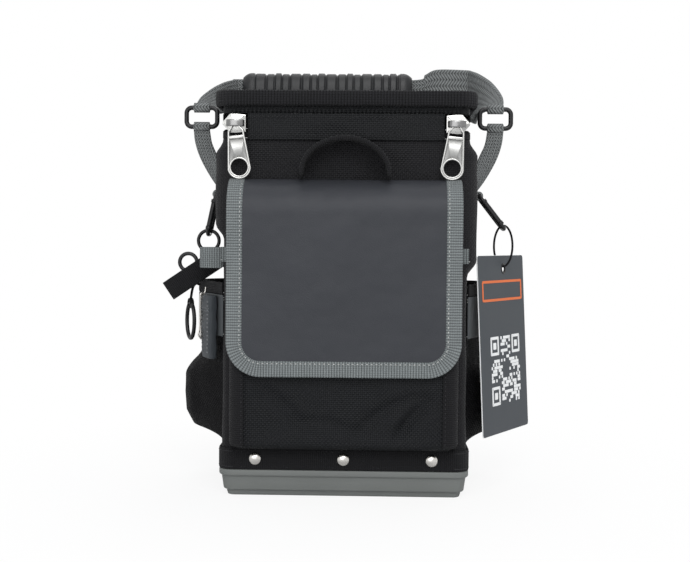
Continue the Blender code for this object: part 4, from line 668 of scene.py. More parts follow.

# %% [markdown]
# ## Front flap
# One sheet of coated cloth is sewn to the body, rolls over a shoulder and hangs in
# front of the pocket. Its side view is a quarter ellipse and then a straight drop,
# so each point is found by its distance down that line. Webbing is folded over the
# edge and sewn with a pale thread.

# %% Flap line and sheet
FLAP_Y, FLAP_BEND, FLAP_FOOT = -0.0892, 0.2255, 0.099
FLAP_HALF, FLAP_ROUND, TAPE_WIDE = 0.091, 0.027, 0.0124
quarter = np.radians(np.linspace(0, 90, 61))
flap_side = np.concatenate((
    np.stack((-0.0653 - 0.0239 * np.sin(quarter), FLAP_BEND + 0.0260 * np.cos(quarter)), -1),
    np.linspace((FLAP_Y, FLAP_BEND), (FLAP_Y, FLAP_FOOT), 91)[1:],
))
flap_run, flap_lean = travelled(flap_side), heading(flap_side)
FLAP_LONG = flap_run[-1]
FLAP_STRAIGHT = FLAP_LONG - FLAP_ROUND


def on_flap(x, down, proud=0.0):
    """World point at x across and a distance down the flap line, raised along its normal."""
    y, z, ty, tz = (np.interp(down, flap_run, values) for values in (*flap_side.T, *flap_lean.T))
    loose = np.clip((down - 0.05) / 0.05, 0, 1)
    sway = 0.0007 * np.sin(x * 38 + down * 21) + 0.0005 * np.sin(x * 75 - down * 44 + 1.0)
    proud = proud + sway * loose
    return np.stack((x + 0 * y, y + proud * tz, z - proud * ty), -1)


def flap_half(down, inset):
    """Half width at a distance down: full, then the quarter circle of the lower corner."""
    radius = FLAP_ROUND - inset
    below = np.clip(down - FLAP_STRAIGHT, 0, radius)
    return FLAP_HALF - inset - radius + np.sqrt(radius ** 2 - below ** 2)


inset = TAPE_WIDE * 0.5
edge_x, edge_round = FLAP_HALF - inset, FLAP_ROUND - inset
last_bit = FLAP_STRAIGHT + edge_round * np.sin(np.radians(np.linspace(3, 89.5, 26)))
down = np.concatenate((np.linspace(0, FLAP_STRAIGHT, 70), last_bit))
flap_grid = on_flap(np.linspace(-1, 1, 90) * flap_half(down, inset)[:, None], down[:, None])
flap_sheet = dress("flap_sheet", FLAP_SKIN, woven(flap_grid), body=None,
                   nodes=("flap_panel", "flap_shoulder"), thick=(0.0020, 0.0))

# %% Flap binding and its stitches
edge = bay((edge_x - edge_round, -FLAP_STRAIGHT), edge_round, [(edge_x, 0.0)], 420, 24)
out = normals(edge)
tape = flat_oval(TAPE_WIDE, 0.0034, 0.32, 28)
over = edge[:, None] + out[:, None] * tape[:, :1]
edge_grid = on_flap(over[..., 0], np.clip(-over[..., 1], 0, None), tape[:, 1])
flap_edge = dress("flap_edge_tape", GREY_TAPE, woven(edge_grid, tube=True), body=None,
                  nodes=("flap_binding",))
x, y = (edge - out * (TAPE_WIDE / 2 - 0.0019)).T
seams = [threads(on_flap(x, -y, 0.0019 * face)[4:-4], (0.0, -face, 0.02), 0.0036, 0.0026, 0.00052)
         for face in (1, -1)]
flap_seam = dress("flap_edge_stitches", PALE_THREAD, *seams, body=None, slot="grey_webbing")
for cloth in (flap_sheet, flap_edge, flap_seam):
    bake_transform(cloth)

# %% [markdown]
# ## Lid, its rolled edge and the cloth hinge
# The lid is a shallow cap: a low wall, a rounded shoulder and a top that crowns a
# little because the cloth is stretched over a stiffener. The same outline shrinks
# towards the middle row by row. A thick roll of folded webbing runs round it.

# %% Lid cap
CROWN, CROWN_RUN, TOP_EDGE, TOP_Z = 0.0022, 0.061, 0.0030, 0.3190
plan = even(rounded(HALF_WIDE, HALF_DEEP, CORNER, 10), 200, closed=True)
lid_rows = [(0.0, 0.3046), (0.0, 0.3100), (0.0, 0.3160), (0.0008, 0.3178), (TOP_EDGE, TOP_Z)]
lid_rows += [(TOP_EDGE + step, TOP_Z + CROWN * math.sin(math.radians(90 * step / CROWN_RUN)))
             for step in np.linspace(0.004, CROWN_RUN, 16)]
lid_grid = np.stack([
    levelled(plan * (1 - inward / HALF_WIDE, 1 - inward / HALF_DEEP), height) for inward, height in lid_rows
])
points, faces, cloth, caps = woven(lid_grid, tube=True, ends=(1,))
# the cloth coordinates are x and y over the top, and both grow with z up the wall
cloth = points[faces][..., :2] + np.minimum(points[faces][..., 2:], 0.3165)
dress("lid_cloth", LID_CLOTH, (points, faces, cloth, caps), body="lid", nodes=("lid_panel",),
      thick=(0.0022, -1.0))

# %% Rolled edge: a fat strap whose section swells and shrinks at every rib
RIBS, POINTS_PER_RIB, ROLL_Z = 260, 4, 0.31615
count = RIBS * POINTS_PER_RIB
path = levelled(even(rounded(0.1011, 0.0681, 0.0131, 12), count, closed=True), ROLL_Z)
rib = 1 + 0.055 * np.cos(np.arange(count) * 2 * np.pi / POINTS_PER_RIB)
section = flat_oval(0.0056, 0.0122, 0.62, 22) * rib[:, None, None]
dress("lid_roll", ROLL_TAPE, ribbon(path, UP, section, closed=True), body="lid", nodes=("lid_binding",))

# %% Cloth hinge across the front, with its two stitch rows
hinge = [dress("hinge_cloth", LID_CLOTH, curtain(0.0775, 0.2835, 0.3042, 30, 70, -0.0669, 0.0004, 90, 300),
               body=None, nodes=("hinge_strip", "lid_skirt"), thick=(0.0032, -1.0))]
rows = [threads(np.linspace((-0.075, -0.0675, z), (0.075, -0.0675, z), 60), -BACK, 0.0034, 0.0024)
        for z in (0.2862, 0.3012)]
hinge.append(dress("hinge_stitches", DARK_THREAD, *rows, body=None, slot="black_nylon"))
for part in hinge:
    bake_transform(part)

# %% [markdown]
# ## Zip
# Each half of the zip is a woven tape with a row of moulded teeth along its edge.
# The rows stand apart, as the lid is built closed but not zipped. One small bead is
# repeated along the edge, so a thousand teeth stay cheap.

# %% Zip rows
front_corner = arc((HALF_WIDE - CORNER, CORNER - HALF_DEEP), CORNER, 270, 360, 8)
rear_corner = arc((HALF_WIDE - CORNER, HALF_DEEP - CORNER), CORNER, 0, 90, 8)
# name, body, how its front end starts, tape from and to, height of the teeth
zips = (("body_zip", "shell", [(0.0770, -HALF_DEEP), *front_corner], 0.2851, 0.2897, 0.2903),
        ("lid_zip", "lid", front_corner[-1:], 0.2996, 0.3044, 0.2991))
for name, body, start, low, high, tooth_z in zips:
    half = np.concatenate((start, rear_corner))
    line = even(np.concatenate((half, half[::-1] * (-1, 1))), 300)
    path = levelled(line, (low + high) / 2)
    out = beside(path, UP)
    tape = carried(path - out * 0.0004, out, UP, flat_oval(0.0014, high - low, 0.3, 16))
    dress(name + "_tape", BLACK_TAPE, tape, body=body, nodes=(name,), slot="zip_coil")
    line = levelled(line, tooth_z) - out * 0.0012
    teeth = [threads(line, way, 0.0021, 0.0016, 0.0016) for way in (out, -out)]
    dress(name + "_teeth", COIL, *teeth, body=body)

# %% [markdown]
# ## Sliders and pulls
# A slider is two stacked plates with a pointed nose, and a bridge over its face. The
# pull is a long drop with a hole at its wide end: a thin plate with a raised rim, so
# its middle reads as a pressed panel.

# %% Flat parts
def slab(outline, y_near, y_far, hole=None):
    """A flat part between two depths; a hole makes it a ring of four hoops of points."""
    if hole is None:
        small = outline.mean(0) + (outline - outline.mean(0)) * 0.3
        hoops = ((small, y_near), (outline, y_near), (outline, y_far), (small, y_far))
    else:
        hoops = ((outline, y_near), (outline, y_far), (hole, y_far), (hole, y_near))
    return woven(np.stack([upright(line, y) for line, y in hoops]), hoop=hole is not None, tube=True)


# %% Slider and pull, left and right
PIN_X, PIN_Z = 0.08675, 0.296
HOLE_DROP, HOLE_RADIUS, PANEL_TOP = -0.0348, 0.0066, -0.0112
PULL_NEAR, PULL_FAR = -0.0735, -0.0711
plate_line = even(np.concatenate((
    [(-0.0005, -0.0066), (0.0068, -0.0074)], arc((0.0108, -0.0050), 0.0024, -90, -30, 5),
    arc((0.0160, 0.0), 0.0018, -50, 50, 6), arc((0.0108, 0.0050), 0.0024, 30, 90, 5),
    [(0.0068, 0.0074), (-0.0005, 0.0066)],
)), 90, closed=True)
pull_line = even(np.concatenate((
    [(0.0030, 0.0012), (-0.0030, 0.0012), (-0.0036, -0.0030), (-0.0062, -0.0062)],
    arc((0.0, HOLE_DROP), 0.0092, 188, 352, 24), [(0.0062, -0.0062), (0.0036, -0.0030)],
)), 200, closed=True)
panel_line = even(np.concatenate((
    [(0.0062, PANEL_TOP), (-0.0062, PANEL_TOP)], arc((0.0, HOLE_DROP), 0.0084, 188, 352, 24),
)), 160, closed=True)
bar_line = even(rounded(0.0060, 0.0012, 0.0009, 5) + (0, PANEL_TOP), 40, closed=True)
bow = smooth_line([
    (-0.0066, -0.0694), (-0.0062, -0.0716), (-0.0046, -0.0732), (-0.0018, -0.0740),
    (0.0018, -0.0740), (0.0046, -0.0732), (0.0062, -0.0716), (0.0066, -0.0694),
], 28)
sway = math.radians(6.0)
for word, side in SIDES:
    plate = (plate_line * (side, 1) + (side * 0.0792, PIN_Z))[::side]
    path = levelled(bow + (side * PIN_X, 0.0), PIN_Z)
    bridge = ribbon(path, UP, flat_oval(0.0013, 0.0052, 0.4))
    # the bridge's darker zip metal is painted shade for the grooves round it
    dress(f"{word}_zip_bridge", SHADED_BRIDGE_METAL, bridge, body=f"{word}_zip_slider")
    dress(f"{word}_zip_slider", ZIP_METAL, slab(plate, -0.0688, -0.0662),
          slab(shrunk(plate, 0.0012), -0.0698, -0.0686),
          body=f"{word}_zip_slider", nodes=(f"{word}_slider",), bevel=(0.00035, 2))
    centre = np.array((side * PIN_X, PIN_Z))
    swing = np.array([(math.cos(sway), -side * math.sin(sway)), (side * math.sin(sway), math.cos(sway))])
    outline, panel, bar = (line @ swing + centre for line in (pull_line, panel_line, bar_line))
    hole = centre + (0.0, HOLE_DROP) @ swing
    rays = unit(outline - hole)
    dress(f"{word}_zip_pull", ZIP_METAL,
          slab(hole + 0.0079 * rays, PULL_NEAR, PULL_FAR, hole + HOLE_RADIUS * rays),
          slab(outline, PULL_NEAR, PULL_FAR, shrunk(outline, 0.0013)), slab(bar, -0.0736, PULL_FAR),
          body=f"{word}_zip_pull", nodes=(f"{word}_pull",), bevel=(0.0003, 2))
    pressed = slab(panel, -0.0730, -0.0716, hole + HOLE_RADIUS * unit(panel - hole))
    dress(f"{word}_zip_pull_panel", PULL_PANEL, pressed, body=f"{word}_zip_pull")

# %% [markdown]
# ## Straps that turn
# A strap is given by stations: where its middle is and which way its half width
# points. A smooth curve goes through the stations, and the strap's flat section is
# carried along it, so it can start flat on a ring's bar and end upright in the hand.

# %% Strap helper and ring loops
def strap(stations, thick, count=80):
    """Flat section on a curve through (middle, half-width vector) stations."""
    line = even(smooth_line(stations, count), count)
    path, half = line[:, :3], line[:, 3:]
    width = np.linalg.norm(half, axis=1)[:, None]
    side, base = half / width, flat_oval(1.0, 1.0, 0.32, 26)
    section = np.stack((base[:, 0] * 2 * width, np.broadcast_to(base[:, 1] * thick, (count, 26))), -1)
    return carried(path, side, beside(path, side), section)


def bar_loop(centre, axis, inner, outer, length):
    """The turn of webbing round a bar: a hollow barrel with rounded rims."""
    half, thick = length / 2, outer - inner
    profile = [(inner, -half), (inner + thick * 0.25, -half), (outer, -half + thick * 0.3),
               (outer, half - thick * 0.3), (inner + thick * 0.25, half), (inner, half)]
    return spun(profile, centre, axis, unit(np.cross(axis, (0.0, 1.0, 0.3))), hoop=True)


RING_X, PIVOT_Y, PIVOT_Z, WALL_X = 0.124, 0.003, 0.316, 0.0998
TAB_FOOT, TAB_BEND, EYE_Z, RING_Z = 0.196, 0.228, 0.300, 0.308
FULL_STRAP, SLIM_STRAP, LOOP_INNER, LOOP_OUTER = 0.025, 0.0138, 0.0023, 0.0041
HOOK_X, HOOK_Z = 0.1105, 0.243
# share of the rise from bend to eye, of the way out to the ring, and of the quarter turn
TAB_TURN = ((0.18, 0.14, 0.05), (0.42, 0.44, 0.35), (0.65, 0.72, 0.70), (0.84, 0.93, 0.95), (1.0, 1.0, 1.0))
box = np.array([(-0.0095, 0.199), (0.0095, 0.199), (-0.0095, 0.225), (0.0095, 0.225)])
ring_line = even(rounded(0.013, 0.008, 0.0045, 10), 120, closed=True)
for word, side in SIDES:
    ring = wire(upright(ring_line, PIVOT_Y, (side * RING_X, RING_Z)), 0.0020, BACK, count=14)
    dress(f"{word}_strap_ring_wire", BLACK_METAL, ring, nodes=(f"{word}_strap_ring",))
    stations = [(side * WALL_X, PIVOT_Y, z, 0, FULL_STRAP / 2, 0) for z in (TAB_FOOT, 0.206, 0.217, TAB_BEND)]
    for rise, reach, turn in TAB_TURN:
        half = (FULL_STRAP + (SLIM_STRAP - FULL_STRAP) * turn) / 2
        angle = math.radians(90 * turn)
        x, z = WALL_X + (RING_X - WALL_X) * reach, TAB_BEND + (EYE_Z - 0.0032 - TAB_BEND) * rise
        stations.append((side * x, PIVOT_Y, z, side * half * math.sin(angle), half * math.cos(angle), 0))
    dress(f"{word}_side_tab", STRAP, strap(stations, 0.0030),
          bar_loop((side * RING_X, PIVOT_Y, EYE_Z), (1, 0, 0), LOOP_INNER, LOOP_OUTER, SLIM_STRAP),
          bar_loop((side * HOOK_X, PIVOT_Y, HOOK_Z), BACK, 0.0020, 0.0038, 0.009), nodes=(f"{word}_tab",))
    corners = [(side * (WALL_X + 0.0016), PIVOT_Y + y, z) for y, z in box]
    lines = [np.linspace(corners[a], corners[b], 20) for a, b in ((0, 1), (2, 3), (0, 3), (2, 1))]
    seams = [threads(line, (side, 0, 0), radius=0.00028) for line in lines]
    dress(f"{word}_tab_stitches", DARK_THREAD, *seams, slot="handle_webbing")

# %% [markdown]
# ## Carry handle
# Each end is looped round a ring. The strap lies flat there, turns upright as it runs
# to the back, and passes through a moulded rubber grip whose bands are cut by grooves.

# %% Handle strap
HAND_Y, HAND_Z, THIN, WIDE = 0.084, 0.338, 0.0135, 0.023
GRIP_LEFT, GRIP_RIGHT = -0.098, 0.056
# from a ring to the rear corner: share of the way back, of the ring's x, of the rise, of the turn
ARM = np.array([
    (0.0, 1.0, 0.0, 0.0), (0.11, 0.997, 0.10, 0.08), (0.30, 0.980, 0.28, 0.42), (0.53, 0.950, 0.50, 0.75),
    (0.73, 0.918, 0.72, 0.95), (0.88, 0.885, 0.88, 1.0), (0.97, 0.845, 0.97, 1.0),
])


def arm(side, wide):
    """Stations from a ring to the rear corner, where the strap is wide on either side."""
    back, out, up, turn = ARM.T
    angle = np.radians(90 * turn)
    half = (SLIM_STRAP + (2 * wide - SLIM_STRAP) * turn) / 2
    first = PIVOT_Y + 0.0032
    return np.stack((
        side * RING_X * out, first + (HAND_Y - first) * back, PIVOT_Z + (HAND_Z - PIVOT_Z) * up,
        side * half * np.cos(angle), 0 * angle, half * np.sin(angle),
    ), -1)


middle = [(x, HAND_Y, HAND_Z, 0, 0, half) for x, half in (
    (GRIP_LEFT - 0.002, THIN), (-0.02, THIN), (GRIP_RIGHT + 0.002, THIN),
    (GRIP_RIGHT + 0.012, (THIN + WIDE) / 2), (GRIP_RIGHT + 0.023, WIDE),
)]
carry = strap(np.concatenate((arm(-1, THIN), middle, arm(1, WIDE)[::-1])), 0.0035, 260)
loops = [bar_loop((side * RING_X, PIVOT_Y, PIVOT_Z), (1, 0, 0), LOOP_INNER, LOOP_OUTER, SLIM_STRAP)
         for side in (-1, 1)]
dress("carry_strap", STRAP, carry, *loops, body="carry_handle", nodes=("handle_webbing",))
seams = []
for z in (HAND_Z - WIDE + 0.004, HAND_Z + WIDE - 0.004):
    for face in (-1, 1):
        y = HAND_Y + face * 0.0018
        line = np.linspace((GRIP_RIGHT + 0.024, y, z), (0.103, y, z), 24)
        seams.append(threads(line, (0, face, 0), 0.0034, 0.0024, 0.0003))
dress("carry_strap_stitches", PALE_THREAD, *seams, body="carry_handle", slot="handle_webbing")

# %% Rubber grip: raised bands, a smooth pad over the knuckles and drawn-in ends
GRIP_END, BANDS, GROOVE = 0.012, 16, 0.0018
length = GRIP_RIGHT - GRIP_LEFT
travel = np.linspace(0, 1, 320)[:, None] * length
pitch = (length - 2 * GRIP_END) / BANDS
wrap = travel + 0.0015 * np.sin(travel * 190) - GRIP_END
phase = (wrap % pitch) / pitch
layer = 0.0005 * (1 + np.sin(np.floor(wrap / pitch) * 2.4))
groove = np.clip(1 - np.minimum(phase, 1 - phase) / 0.18, 0, 1) ** 1.3 * GROOVE + layer
groove[(travel < 0.011) | (travel > length - 0.011)] = 0
tip = np.clip(1 - np.minimum(travel, length - travel) / 0.008, 0, 1) ** 2 * 0.004
around = np.linspace(0, 2 * np.pi, 56, endpoint=False)
pad = np.clip(np.cos(around - 1.0), 0, 1) ** 2
shrink = tip + groove * (1 - 0.25 * pad)
oval = flat_oval(2, 2, 0.8, 56)
grip = np.stack((
    GRIP_LEFT + travel + 0 * around, HAND_Y + (0.0115 - shrink) * oval[:, 0],
    HAND_Z + (0.0190 - shrink) * oval[:, 1],
), -1)
dress("handle_grip_rubber", RUBBER, woven(grip, tube=True), body="carry_handle", nodes=("handle_grip",))

# %% [markdown]
# ## Hooks, rings, string and tag
# Bent wire is a round section carried round a flat closed line. Each hook hangs from
# the eye of its side tab and has a spring gate along one long side. The tag is a thin
# card on a loop of string, with a bare frame and a plain block of marks.

# %% Snap hooks and the small ring
HOOK_LONG, HOOK_WIRE, GATE_Y, PLAY = 0.035, 0.0017, -0.0090, 0.0003
hook_line = even(rounded(HOOK_LONG / 2, 0.0090, 0.0060, 10), 140, closed=True)
gate_parts = (((-0.0105, 0.0112), 12, 0.0023), ((-0.0126, -0.0098), 4, 0.0028), ((0.0104, 0.0132), 4, 0.0027))


def slanted(points, centre, way):
    """Flat points whose length runs down the slant and whose width runs front to back."""
    spot = centre + points[:, :1] * way
    return np.stack((spot[:, 0], PIVOT_Y + points[:, 1], spot[:, 1]), -1)


hook_end = {}
for word, side, slant in (("left", -1, 12.0), ("right", 1, 38.0)):
    lean = math.radians(slant)
    way = np.array((side * math.sin(lean), -math.cos(lean)))
    hook_end[word] = np.array((side * HOOK_X, HOOK_Z)) + HOOK_LONG * way
    centre = hook_end[word] - HOOK_LONG / 2 * way
    face = (way[1], 0.0, -way[0])
    bars = [wire(slanted(hook_line, centre, way), HOOK_WIRE, face, count=14)]
    for (start, stop), count, radius in gate_parts:
        line = np.linspace((start, GATE_Y), (stop, GATE_Y), count)
        bars.append(wire(slanted(line, centre, way), radius, face, closed=False))
    dress(f"{word}_snap_hook_wire", BLACK_METAL, *bars, body=f"{word}_snap_hook", nodes=(f"{word}_hook",))
circle = arc((0, 0), 1.0, 0, 360, 64)[:-1]
RING_ROUND, RING_WIRE = 0.0088, 0.0015
ring_spot = hook_end["left"] - (0.0, RING_ROUND - RING_WIRE - HOOK_WIRE - PLAY)
ring = wire(upright(circle * RING_ROUND, PIVOT_Y, ring_spot), RING_WIRE, BACK)
dress("hook_ring_wire", BLACK_METAL, ring, body="hook_ring", nodes=("small_ring",))

# %% String and the place of the tag
STRING_HALF, STRING_LONG, EYELET = 0.0009, 0.0345, 0.0030
string_x, string_top = hook_end["right"] + (0.0, HOOK_WIRE + STRING_HALF + PLAY)
string_line = upright(circle * (0.0078, STRING_LONG / 2), PIVOT_Y, (string_x, string_top - STRING_LONG / 2))
string = wire(string_line, STRING_HALF, BACK, count=8)
dress("tag_string_loop", CORD, string, body="hang_tag", nodes=("tag_string",))
hole_z = string_top - STRING_LONG + STRING_HALF + PLAY - EYELET
to_tag = np.array(Matrix.Translation((string_x, PIVOT_Y, hole_z)) @ Matrix.Rotation(math.radians(59), 4, "Z")
                  @ Matrix.Rotation(math.radians(87), 4, "X"))


def card(outline, low, high, hole=None):
    """A flat part drawn over the card's middle between two heights, moved onto the card."""
    points, faces, cloth, caps = slab(outline, low, high, hole)
    points = points[:, (0, 2, 1)] * (1, 1, -1)
    return points @ to_tag[:3, :3].T + to_tag[:3, 3], faces, cloth, caps


def plate_at(x, y, half_x, half_y, radius, count):
    """Outline of a rounded rectangle about a point of the card."""
    return even(rounded(half_x, half_y, radius, 6) + (x, y), count, closed=True)


# %% Card with its pale edge and its eyelet
TAG_X, TAG_Y = -0.0045, -0.063
edge = plate_at(TAG_X, TAG_Y, 0.045, 0.074, 0.002, 240)
rays = unit(edge)
face = card(edge, -0.00045, 0.00045, EYELET * rays)
rim = card(shrunk(edge, -0.0003), -0.0004, 0.0004, shrunk(edge, 0.002))
eyelet = card(0.0046 * rays, -0.0007, 0.0007, EYELET * rays)
dress("hang_tag_card", CARD, face, body="hang_tag", nodes=("tag_card",), smooth=False)
dress("tag_card_edge", CARD_LIGHT, rim, body="hang_tag", smooth=False)
dress("tag_eyelet", BLACK_METAL, eyelet, body="hang_tag", slot="tag_card")

# %% Marks on the card: a bare frame and a plain block of squares
MARK_LOW, MARK_HIGH = -0.00062, -0.00040
MARK_X, MARK_Y, CELL, HALF_CELLS, CORNER_OUT = TAG_X + 0.003, -0.085, 0.0027, 10, 0.0208
line = plate_at(TAG_X + 0.001, -0.0183, 0.0390, 0.0087, 0.0016, 120)
bare = card(line, MARK_LOW, MARK_HIGH, shrunk(line, 0.0021))
dress("tag_bare_frame", CARD_FRAME, bare, body="hang_tag", smooth=False)
marks = []
for row in range(-HALF_CELLS, HALF_CELLS + 1):
    for column in range(-HALF_CELLS, HALF_CELLS + 1):
        in_corner = (abs(column) > 3 and row > 3) or (column < -3 and row < -3)
        scattered = math.sin(column * 12.9898 + row * 78.233) * 43758.5453 % 1.0 > 0.46
        if scattered and not in_corner and max(abs(column), abs(row)) > 2:
            spot = (MARK_X + column * CELL, MARK_Y + row * CELL)
            marks.append(card(plate_at(*spot, CELL * 0.48, CELL * 0.48, 0.0002, 8), MARK_LOW, MARK_HIGH))
for x, y in ((-1, 1), (1, 1), (-1, -1)):
    spot = (MARK_X + x * CORNER_OUT, MARK_Y + y * CORNER_OUT)
    square = plate_at(*spot, 0.0078, 0.0078, 0.0006, 60)
    marks += [card(square, MARK_LOW, MARK_HIGH, shrunk(square, 0.0024)),
              card(plate_at(*spot, 0.0028, 0.0028, 0.0004, 20), MARK_LOW, MARK_HIGH)]
dress("tag_light_marks", CARD_LIGHT, *marks, body="hang_tag", smooth=False)

# %% [markdown]
# ## Side pockets
# Seen from above, a pocket is a hump sewn along two seams; seen from the front it is
# slim at its mouth and swells towards its foot. Two short tables say how far the hump
# reaches at a few places, and smooth curves through them give the whole surface.

# %% Side pocket surfaces
# PLAN: place from seam to seam, reach of the slim form and of the swollen one
PLAN = np.array([(-1.0, 0.0, 0.0), (-0.59, 0.32, 0.36), (-0.18, 0.64, 0.67), (0.14, 0.93, 0.93),
                 (0.36, 1.0, 1.0), (0.69, 0.86, 0.86), (0.93, 0.45, 0.45), (1.0, 0.0, 0.0)])
# RISE: share of the height, share of the swollen form, share of the reach
RISE = np.array([(0.0, 1.0, 0.0), (0.015, 1.0, 0.3), (0.05, 1.0, 0.78), (0.14, 1.0, 0.95), (0.26, 1.0, 1.0),
                 (0.38, 0.95, 1.0), (0.47, 0.5, 1.0), (0.55, 0.0, 1.0), (0.77, 0.0, 1.0), (1.0, 0.0, 1.0)])
SIDE_FOOT, SIDE_TOP, SIDE_WALL = 0.0393, 0.170, 0.0983
SLIM_REACH, FULL_REACH = 0.028, 0.043
FRONT_SEAM, REAR_SEAM = 0.044, 0.055


def hump(side, share, places, heights, proud=0.0):
    """Grid of points: slim * (1 - full) + bulge * full, times reach, out from the wall."""
    heights = np.asarray(heights)[:, None]
    order = np.linspace(0, len(PLAN) - 1, 400)
    where = places * (len(PLAN) - 1)
    back, slim, bulge = (np.interp(where, order, column) for column in smooth_line(PLAN, 400).T)
    full = np.clip(np.interp(heights, RISE[:, 0], RISE[:, 1]), 0, 1)
    full = full * full * (3 - 2 * full)
    reach = np.interp(heights, RISE[:, 0], RISE[:, 2])
    out = share * (SLIM_REACH * slim * (1 - full) + FULL_REACH * bulge * full) * reach
    crease = waves(places * 0.16, heights * 0.13, 0.0030, 7.0 + side)
    crease *= np.sin(np.pi * places) ** 0.5 * fade(heights, 0.04, 0.66, 0.12)
    x = side * (SIDE_WALL + np.clip(out - crease, 0, None) + proud)
    y = np.where(back < 0, FRONT_SEAM, REAR_SEAM) * back
    return np.stack(np.broadcast_arrays(x, y, SIDE_FOOT + (SIDE_TOP - SIDE_FOOT) * heights), -1)


def side_band(side, share, low, high, thick):
    """A strip lying on the pocket between two heights: its path, its outward ways, its part."""
    middle = ((low + high) / 2 - SIDE_FOOT) / (SIDE_TOP - SIDE_FOOT)
    path = hump(side, share, np.linspace(0.004, 0.996, 90), [middle], 0.0009)[0]
    out = beside(path, UP) * -side
    return path, out, carried(path, out, UP, flat_oval(thick, high - low))


HOLDER_X, HOLDER_Y, HOLDER_TURN = -0.1335, 0.006, math.radians(118)
holder_way = np.array((math.cos(HOLDER_TURN), math.sin(HOLDER_TURN), 0.0))
holder_face = np.array((-math.sin(HOLDER_TURN), math.cos(HOLDER_TURN), 0.0))
shelf = smooth_line([(-0.1262, HOLDER_Y, 0.166), (-0.1290, HOLDER_Y, 0.1665), (-0.1318, HOLDER_Y, 0.163),
                     (HOLDER_X, HOLDER_Y, 0.1534)], 24)
holder = [ribbon(shelf, BACK, flat_oval(0.0016, 0.0056, 0.35)),
          bar_loop((HOLDER_X, HOLDER_Y, 0.150), holder_face, 0.0027, 0.0044, 0.0040)]
heights = np.concatenate((np.linspace(0, 0.1, 20), np.linspace(0.11, 0.985, 70)))
for (word, side), share, extra in zip(SIDES, (1.0, 0.88), (holder, [])):
    grid = hump(side, share, np.linspace(0, 1, 80), heights)[:, ::side]
    # the pocket cloth is the darker copy of the black nylon, painted shade for sides that face away from the
    # lamps
    dress(f"{word}_pocket_cloth", SHADED_SIDE_CLOTH, woven(grid), nodes=(f"{word}_pocket",), thick=(0.0018, -1.0))
    path, out, strip = side_band(side, share, 0.1602, 0.1700, 0.0014)
    dress(f"{word}_pocket_band", BLACK_TAPE, strip, *extra, nodes=(f"{word}_pocket_binding",))
    skin_path, skin_out, skin = side_band(side, share, 0.1258, 0.1597, 0.0012)
    dress(f"{word}_pocket_skin", SIDE_SKIN, skin, nodes=(f"{word}_pocket_patch",))
    seams = [threads(skin_path + skin_out * 0.0007 + UP * z, skin_out) for z in (0.0148, 0.0128, -0.0150)]
    seams.append(threads(path + out * 0.0008 - UP * 0.0035, out))
    dress(f"{word}_pocket_stitches", PALE_THREAD, *seams)

# %% Oval ring on the left pocket
oval = (HOLDER_X, HOLDER_Y, 0.135) + circle[:, :1] * 0.0095 * holder_way + circle[:, 1:] * 0.0150 * UP
ring = wire(oval, 0.0017, holder_face)
dress("pocket_ring_wire", BLACK_METAL, ring, body="pocket_ring", nodes=("key_ring",))

# %% [markdown]
# ## Left fittings
# A padded block of coated cloth with a steel plate is there to carry a tape clip. Above
# it a doubled strap sticks out with a ring through its edge, beside an elastic tool loop.

# %% Clip mount, lying along the front slope of the left pocket
CLIP_LOW, CLIP_HIGH = 0.1068, 0.1588
slope = SLIM_REACH * PLAN[2, 1], FRONT_SEAM * (1 + PLAN[2, 0])
along = unit(np.array((-slope[0], slope[1], 0.0)))
outward = unit(np.array((-slope[1], -slope[0], 0.0)))
mount = np.array((-SIDE_WALL, -FRONT_SEAM, 0.0)) + along * 0.0198 + outward * 0.0058
path = mount + np.linspace(CLIP_LOW, CLIP_HIGH, 40)[:, None] * UP
swell = (1 - 0.12 * np.cos(np.linspace(0, 6 * np.pi, 40))) * 0.96
pad = dress("clip_mount_pad", MOUNT_SKIN,
            carried(path, along, outward, taper(flat_oval(0.0222, 0.0078, 0.45, 36), swell)),
            nodes=("tape_mount",), bevel=(0.0012, 3))
lines = [path[4:-4] + outward * 0.0042 + along * shift for shift in (-0.0082, -0.0062, 0.0072)]
lines += [mount + outward * 0.0041 + UP * z + np.linspace(-0.0095, 0.0095, 13)[:, None] * along
          for z in (0.1482, 0.1458)]
seams = [threads(line, outward, 0.0030, 0.0021, 0.00038) for line in lines]
dress("clip_mount_stitches", GREY_THREAD, *seams)

# %% Steel plate of the clip: a thin fin beside the block, with its edge bent inwards at the top
PLATE_LOW, PLATE_ALONG = 0.1216, 0.0118
plate = mount + along * PLATE_ALONG
edge_line = smooth_line([plate + outward * (0.0042 + out) + UP * z for z, out in (
    (PLATE_LOW, -0.0008), (0.1250, 0.0014), (0.1300, 0.0006), (0.1420, 0.0), (0.1560, 0.0),
    (CLIP_HIGH, -0.0002), (0.1596, -0.0014), (0.1598, -0.0034), (0.1612, -0.0044), (0.1650, -0.0048),
)], 60)
fin_line = plate + outward * 0.0003 + np.linspace(PLATE_LOW, CLIP_HIGH, 12)[:, None] * UP
dress("clip_plate", NICKEL, carried(fin_line, outward, along, flat_oval(0.0080, 0.0012)),
      ribbon(edge_line, along, flat_oval(0.0014, 0.0012, 0.8)), nodes=("tape_plate",), slot="steel")

